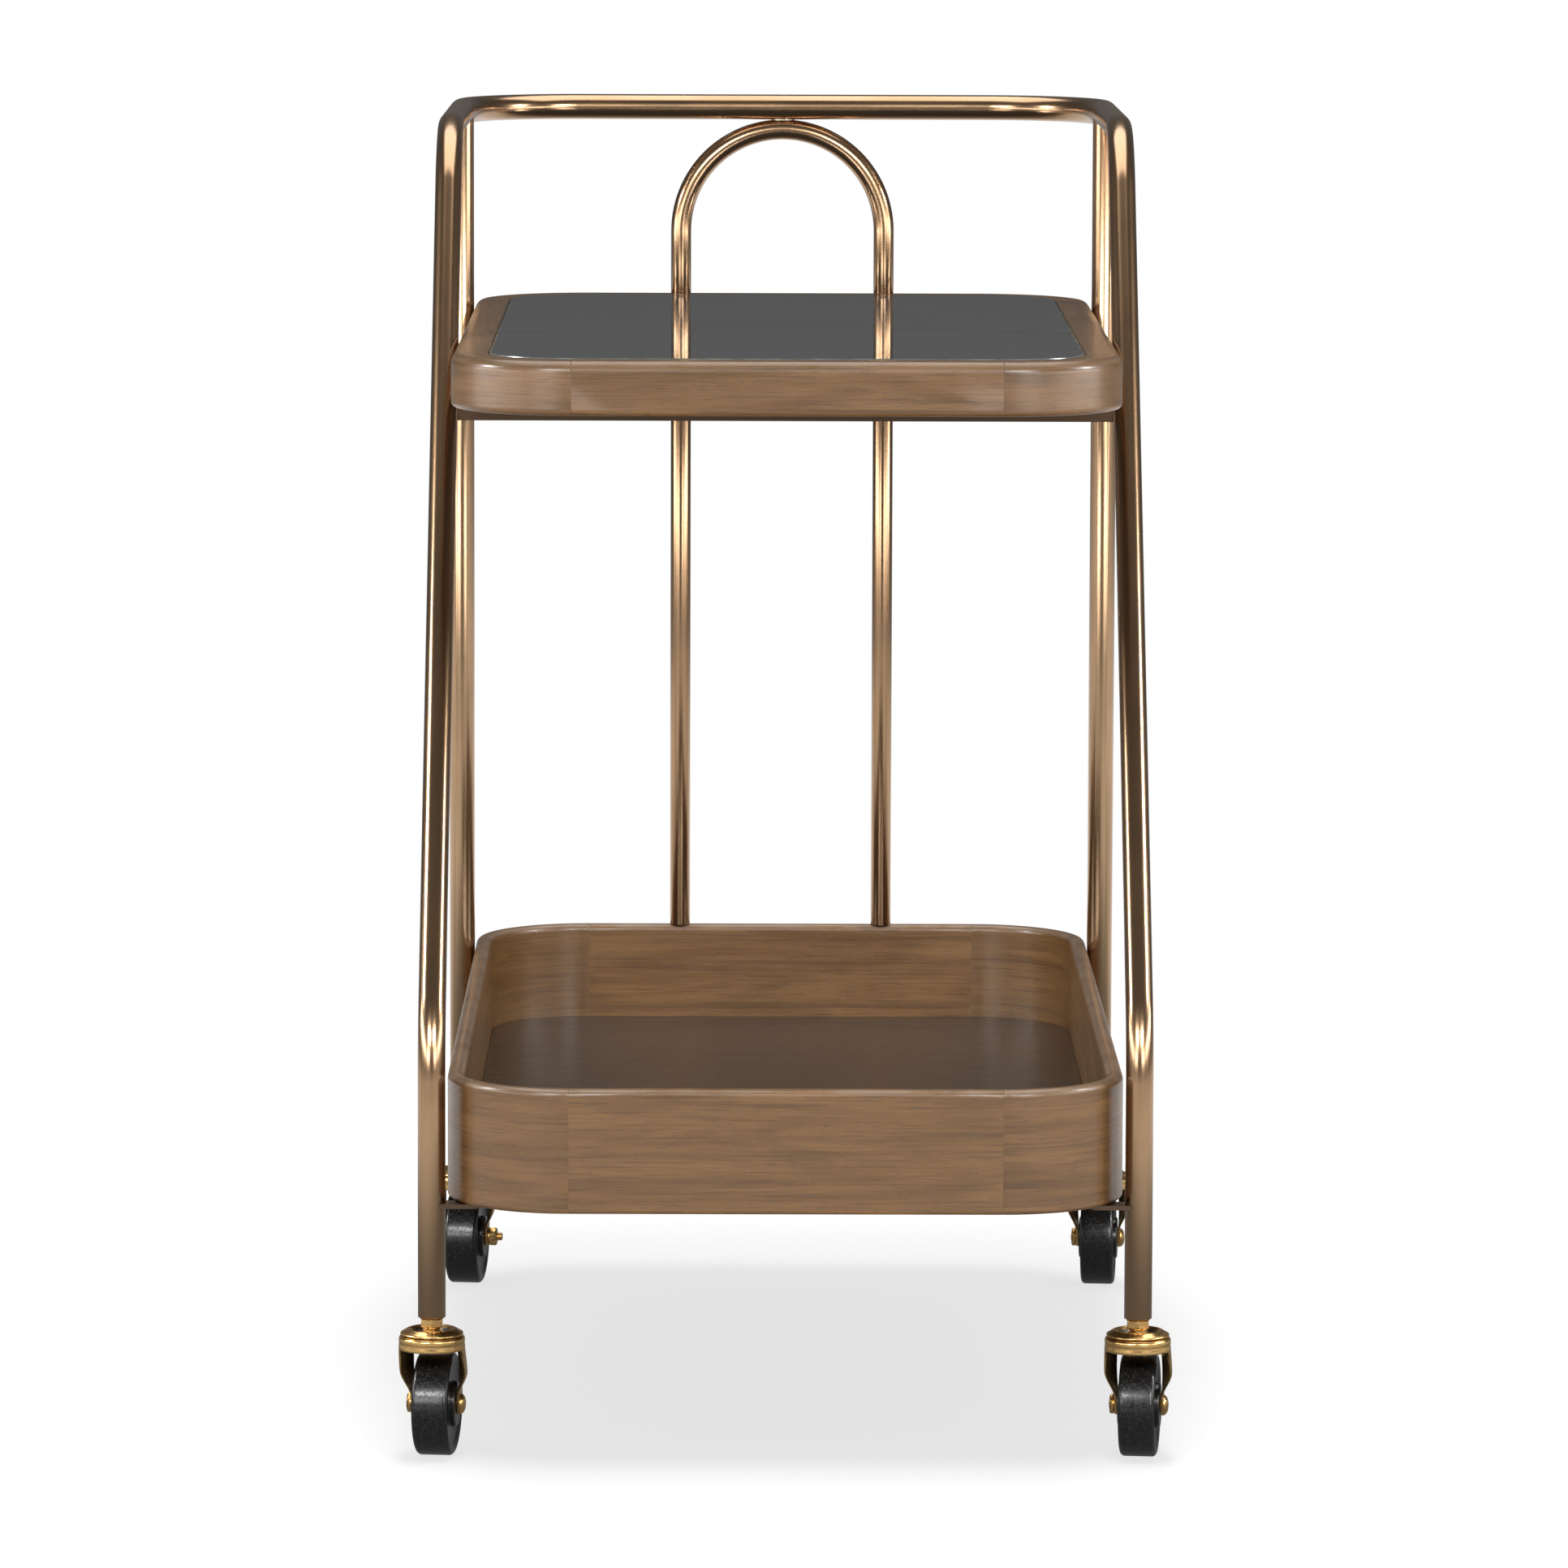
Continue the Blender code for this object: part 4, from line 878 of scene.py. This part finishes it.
def add_fork(name, body, place):
    """Pressed ring with a rolled shoulder and lower lip, and two blades that sweep back to the axle."""
    bm = bmesh.new()
    segments = RING_SEGMENTS
    hole = KINGPIN_RADIUS + GAP
    shoulder = [(hole, RING_TOP), (0.0185, RING_TOP)]
    shoulder += fillet(0.0190, RING_TOP - 0.0026, 0.0026, 90, 8, 6)
    shoulder += [(RING_RADIUS - 0.00022, RING_TOP - 0.0046), (RING_RADIUS - 0.0003, RING_TOP - 0.0055),
                 (RING_RADIUS - 0.0001, RING_TOP - 0.0066), (RING_RADIUS, RING_TOP - 0.0078),
                 (RING_RADIUS, RING_BOTTOM)]
    base, run, _ = spin(bm, shoulder, segments, girth=RING_RADIUS)[-1]
    uv = bm.loops.layers.uv.verify()
    columns = range(-4, 11)                     # ring columns 5 degrees apart: -20 to 50 degrees
    middle = 0.5 * (columns[-1] + columns[0])
    widest = 0.5 * (columns[-1] - columns[0])
    downs = [0.012, 0.03, 0.06, 0.10, 0.15, 0.22, 0.30, 0.38, 0.45,
             0.52, 0.59, 0.66, 0.73, 0.79, 0.84, 0.9, 0.95, 1.0]
    for mirror in (1, -1):
        if mirror > 0:
            above = [base[column % segments] for column in columns]
        else:
            above = [base[(segments // 2 - column) % segments] for column in columns]
        rows = []
        for down in downs:
            rows.append([blade_point(down, (column - middle) / widest) for column in columns])
        for step in range(1, 7):
            angle = math.radians(15 * step - 3 if step == 6 else 15 * step)
            drop = FORK_END_RADIUS * math.sin(angle)
            rows.append([Vector((FORK_HALF_WIDTH,
                                 CASTER_TRAIL + FORK_END_RADIUS * math.cos(angle) * (column - middle) / widest,
                                 WHEEL_RADIUS - drop)) for column in columns])
        run_above = run
        for row in rows:
            below = [bm.verts.new((mirror * p.x, p.y, p.z)) for p in row]
            run_below = run_above + (below[7].co - above[7].co).length
            for k in range(len(row) - 1):
                v0, v1 = 0.0015 * k, 0.0015 * (k + 1)
                add_face(bm, uv, ((above[k], v0, run_above), (above[k + 1], v1, run_above),
                                  (below[k + 1], v1, run_below), (below[k], v0, run_below)))
            above = below
            run_above = run_below
    bmesh.ops.recalc_face_normals(bm, faces=bm.faces)
    top = max(bm.faces, key=lambda face: face.calc_center_median().z)
    if top.normal.z < 0:
        bmesh.ops.reverse_faces(bm, faces=bm.faces)
    sheet = bpy.data.meshes.new(name)
    bm.to_mesh(sheet)
    bm.free()
    shaper = bpy.data.objects.new(f"{name}_shaper", sheet)
    bpy.context.scene.collection.objects.link(shaper)
    solid = shaper.modifiers.new("sheet", "SOLIDIFY")
    solid.thickness = FORK_THICKNESS
    solid.offset = -1.0
    edge = shaper.modifiers.new("edge", "BEVEL")
    edge.width = EDGE_LIP
    edge.segments = 2
    edge.limit_method = "ANGLE"
    edge.angle_limit = math.radians(50)
    shaped = shaper.evaluated_get(bpy.context.evaluated_depsgraph_get())
    bm = bmesh.new()
    bm.from_mesh(shaped.to_mesh())
    shaped.to_mesh_clear()
    bpy.data.objects.remove(shaper, do_unlink=True)

    def lip(point):
        """Brighter along the lower lip of the ring."""
        if math.hypot(point.x, point.y) <= RING_RADIUS - 0.002:
            return 1.0, 0.0
        return 1.0, 0.55 * max(0.0, 1.0 - abs(point.z - RING_BOTTOM - 0.0006) / 0.0008)

    finish_piece(f"{name}_sheet", bm, [CASTER_BRASS], body=body, place=place, sharp=40.0,
                 marks=lip)


def wheel_profile():
    """Rounded tread edges, a thin recessed flank, a fillet at the hub boss and its rounded rim."""
    half_hub, half_tread, flank = 0.0137, 0.01185, 0.0097
    half = [(0.0033, half_hub - 0.0004), (0.0038, half_hub)]
    half += [(0.0138, half_hub)] + fillet(0.0138, half_hub - 0.0010, 0.0010, 90, 0, 4)
    half += fillet(0.0158, flank + 0.0010, 0.0010, 180, 270, 4)
    half += [(0.0235, flank), (0.0258, flank + 0.0001), (0.0272, flank + 0.0005), (0.0284, flank + 0.0011)]
    half += [(0.0294, half_tread - 0.0006), (0.0302, half_tread - 0.0004)]
    half += fillet(WHEEL_RADIUS - 0.0031, half_tread - 0.0031, 0.0031, 80, 0, 8)
    half += [(WHEEL_RADIUS, 0.004), (WHEEL_RADIUS, 0.0002)]
    return half + [(radius, -across) for radius, across in reversed(half)]


def bolt_profile(bare_thread):
    """Washer face and domed head on one side; washer, chamfered nut and thread on the other."""
    seat = FORK_HALF_WIDTH + GAP
    nut_depth = PLAIN_NUT if bare_thread < THREAD_PITCH else THICK_NUT
    head, nut = BOLT_HEAD_RADIUS, AXLE_NUT_RADIUS
    nut_end = -seat - nut_depth
    profile = at(seat, (0.0, 0.0029), (0.0012, 0.00286), (0.0026, 0.00272), (0.0040, 0.0024),
                 (0.0051, 0.0019), (0.0060, 0.0012), (0.0065, 0.0006), (head, 0.0002), (head, 0.0),
                 (AXLE_RADIUS, -0.00001))
    profile += at(-seat, (AXLE_RADIUS, 0.00001), (0.0063, 0.0), (0.0064, -0.0002), (0.0064, -0.0006),
                  (0.0061, -0.0007), (nut - 0.0005, -0.0008), (nut, -0.0012, True))
    profile += at(nut_end, (nut, 0.0009, True), (nut - 0.0004, 0.0004), (nut - 0.0010, 0.0),
                  (0.0032, 0.0), (0.0029, 0.0003))
    for number in range(int(bare_thread / THREAD_PITCH)):
        profile += at(nut_end - THREAD_PITCH * number,
                      (0.0029, -0.0001), (0.0029, -0.0003), (0.0025, -0.0006))
    return profile + at(nut_end - bare_thread, (0.0026, 0.0003), (0.0022, 0.0), (0.0, 0.0))


def build_caster(name, sign, leg_y, rest_angle, head_side, bare_thread):
    """The five pieces of a caster, each on the body that carries it."""
    axis = Matrix.Translation((sign * LEG_X, leg_y, 0.0))
    swivel = axis @ Matrix.Rotation(math.radians(rest_angle), 4, "Z")
    hub = swivel @ Matrix.Translation((0.0, CASTER_TRAIL, WHEEL_RADIUS))

    bm = turned(stem_profile())
    finish_piece(f"caster_stem_{name}_nut", bm, [CASTER_BRASS],
                 place=axis @ Matrix.Rotation(math.radians(30.0), 4, "Z"), sharp=25.0)
    bm = turned(race_profile(), RING_SEGMENTS, closed=True)
    for face in bm.faces:
        middle = face.calc_center_median()
        if math.hypot(middle.x, middle.y) < 0.0128 and middle.z > RACE_TOP - 0.001:
            face.material_index = 1
    finish_piece(f"caster_race_{name}_cap", bm, [CASTER_BRASS, RACE_STEEL], place=axis)

    add_fork(f"caster_fork_{name}", f"fork_{name}", swivel)

    bm = turned(wheel_profile(), WHEEL_SEGMENTS, closed=True)
    bmesh.ops.rotate(bm, verts=bm.verts, matrix=Matrix.Rotation(math.pi / 2, 3, "Y"))

    def tread(point):
        radius = math.hypot(point.y, point.z)
        return 1.0, min(1.0, max(0.0, (radius - 0.0305) / 0.0028))

    finish_piece(f"caster_wheel_{name}_moulding", bm, [WHEEL_BLACK], body=f"wheel_{name}",
                 place=hub, sharp=30.0, marks=tread)

    bm = turned(bolt_profile(bare_thread))
    bmesh.ops.rotate(bm, verts=bm.verts, matrix=Matrix.Rotation(head_side * math.pi / 2, 3, "Y"))
    finish_piece(f"caster_axle_{name}_bolt", bm, [CASTER_BRASS], body=f"fork_{name}",
                 place=hub, sharp=30.0)


# ---------------------------------------------------------------- studio

CAMERA_PLACE = (-0.0325, -5.8445, 1.112)
CAMERA_PITCH = 6.94                # degrees below level
CAMERA_YAW = -0.321
CAMERA_ROLL = 0.18
LENS = 197.5
CART_MIDDLE = (0.0, 0.0, 0.45)

# Lights at both sides: name, place, size, radiance, target, only in reflections, piece it is kept off
PAIRED_LIGHTS = (
    ("key", (1.1, -3.2, 1.8), (1.3, 0.5), 22.0, CART_MIDDLE, False, "studio_floor"),
    ("rim", (1.8, -0.25, 1.35), (0.3, 0.3), 60.0, CART_MIDDLE, False, "studio_floor"),
    ("glow", (2.0, -0.95, 0.75), (2.3, 0.3), 8.5, (0.0, -0.95, 0.75), True, "glass_mirror"),
    ("glow_front", (1.4, -2.75, 0.80), (1.2, 0.4), 9.0, (0.0, 0.38, 0.80), True, None),
)

# Surroundings as (colour, strength) for matt surfaces, for reflections and for the camera
WORLD_SHADES = (((1.0, 0.99, 0.975), 0.27), ((1.0, 0.98, 0.96), 0.11), ((1.0, 1.0, 1.0), 1.0))

FLOOR_REACH = 120.0
FLOOR_TONE = 0.85
FLOOR_LIFT = 1.23                  # keeps the floor pale where the camera sees it
FLOOR_LIFT_SHARE = 0.6


def build_camera():
    data = bpy.data.cameras.new("camera")
    data.lens = LENS
    data.sensor_width = 36.0
    data.clip_end = 400.0
    camera = bpy.data.objects.new("camera", data)
    bpy.context.scene.collection.objects.link(camera)
    turn = Matrix.Rotation(math.radians(CAMERA_YAW), 4, "Z")
    turn = turn @ Matrix.Rotation(math.radians(90.0 - CAMERA_PITCH), 4, "X")
    turn = turn @ Matrix.Rotation(math.radians(CAMERA_ROLL), 4, "Z")
    camera.matrix_world = Matrix.Translation(CAMERA_PLACE) @ turn
    bpy.context.scene.camera = camera


def softbox(name, place, size, radiance, target):
    """A flat area light that shows the given radiance and is hidden from the camera."""
    data = bpy.data.lights.new(name, "AREA")
    data.shape = "RECTANGLE"
    data.size, data.size_y = size
    data.energy = radiance * math.pi * size[0] * size[1]
    light = bpy.data.objects.new(name, data)
    bpy.context.scene.collection.objects.link(light)
    light.location = place
    light.rotation_euler = (Vector(target) - Vector(place)).to_track_quat("-Z", "Y").to_euler()
    light.visible_camera = False
    return light


def receivers(name, piece, state):
    """A light-linking collection: only the piece, or everything but it."""
    group = bpy.data.collections.new(name)
    group.objects.link(bpy.data.objects[piece])
    group.collection_objects[0].light_linking.link_state = state
    return group


def build_lights():
    only_floor = receivers("only_floor", "studio_floor", "INCLUDE")
    all_but_floor = receivers("all_but_floor", "studio_floor", "EXCLUDE")
    all_but_glass = receivers("all_but_glass", "glass_mirror", "EXCLUDE")
    kept_off = {"studio_floor": all_but_floor, "glass_mirror": all_but_glass, None: None}
    for sign in (-1, 1):
        for name, (x, y, z), size, radiance, target, only_mirrored, spared in PAIRED_LIGHTS:
            light = softbox(f"{name}_{sign}", (sign * x, y, z), size, radiance, target)
            light.visible_diffuse = not only_mirrored
            light.light_linking.receiver_collection = kept_off[spared]
    ceiling = softbox("ceiling", (0.0, 0.7, 3.2), (3.0, 2.8), 2.8, (0.0, 0.7, 0.0))
    ceiling.visible_diffuse = False
    ceiling.light_linking.receiver_collection = all_but_glass
    overhead = softbox("overhead", (0.0, -0.1, 3.4), (0.6, 2.6), 24.0, (0.0, -0.1, 0.0))
    overhead.visible_glossy = False
    overhead.light_linking.receiver_collection = only_floor


def mixed(tree, factor, first, second):
    """Mix of two shader outputs; the factor is a number or an output."""
    node = tree.nodes.new("ShaderNodeMixShader")
    if isinstance(factor, float):
        node.inputs[0].default_value = factor
    else:
        tree.links.new(factor, node.inputs[0])
    tree.links.new(first, node.inputs[1])
    tree.links.new(second, node.inputs[2])
    return node.outputs[0]


def build_world():
    """Pale for the camera, bright and even for matt surfaces, dim for what the metal mirrors."""
    world = bpy.data.worlds.new("studio")
    bpy.context.scene.world = world
    world.use_nodes = True
    tree = world.node_tree
    tree.nodes.clear()
    out = tree.nodes.new("ShaderNodeOutputWorld")
    path = tree.nodes.new("ShaderNodeLightPath")
    shades = []
    for color, strength in WORLD_SHADES:
        shade = tree.nodes.new("ShaderNodeBackground")
        shade.inputs["Color"].default_value = (*color, 1.0)
        shade.inputs["Strength"].default_value = strength
        shades.append(shade.outputs[0])
    matt, mirrored, camera = shades
    unseen = mixed(tree, path.outputs["Is Glossy Ray"], matt, mirrored)
    seen = mixed(tree, path.outputs["Is Camera Ray"], unseen, camera)
    tree.links.new(seen, out.inputs["Surface"])


def build_floor():
    """A pale studio floor that fades to white away from the cart."""
    mesh = bpy.data.meshes.new("studio_floor")
    reach = FLOOR_REACH
    mesh.from_pydata([(-reach, -reach, 0), (reach, -reach, 0), (reach, reach, 0), (-reach, reach, 0)], [],
                     [(0, 1, 2, 3)])
    floor = bpy.data.objects.new("studio_floor", mesh)
    bpy.context.scene.collection.objects.link(floor)
    g = Graph("studio_floor")
    place = g.node("ShaderNodeNewGeometry").outputs["Position"]
    distance = g.node("ShaderNodeVectorMath", {0: place}, operation="LENGTH").outputs["Value"]
    path = g.node("ShaderNodeLightPath")
    camera, glossy = path.outputs["Is Camera Ray"], path.outputs["Is Glossy Ray"]

    def emission(strength):
        return g.node("ShaderNodeEmission", {"Strength": strength}).outputs[0]

    matt = g.node("ShaderNodeBsdfDiffuse", {"Color": (FLOOR_TONE, FLOOR_TONE, FLOOR_TONE, 1.0)}).outputs[0]
    lifted = mixed(g.tree, FLOOR_LIFT_SHARE, matt, emission(FLOOR_LIFT))
    # in reflections the floor is a painted glow: a painted shadow under the cart, brighter round it, dimmer
    # far away
    mirrored_glow_and_shadow = g.math("MULTIPLY", g.ramp(distance, 0.5, 1.3, 0.2, 1.0), g.ramp(distance, 2.0, 5.0, 1.0, 0.24))
    near = mixed(g.tree, camera, mixed(g.tree, glossy, matt, emission(mirrored_glow_and_shadow)), lifted)
    far = g.math("MULTIPLY", g.ramp(distance, 0.9, 2.2), camera)
    shown = mixed(g.tree, far, near, emission(1.0))
    g.link(shown, g.tree.nodes["Material Output"].inputs["Surface"])
    mesh.materials.append(g.material)


def main():
    build_frame()
    build_trays()
    build_supports()
    for caster in CASTERS:
        build_caster(*caster)
    build_camera()
    build_floor()
    build_lights()
    build_world()
    bpy.context.scene.view_settings.view_transform = "Standard"


main()
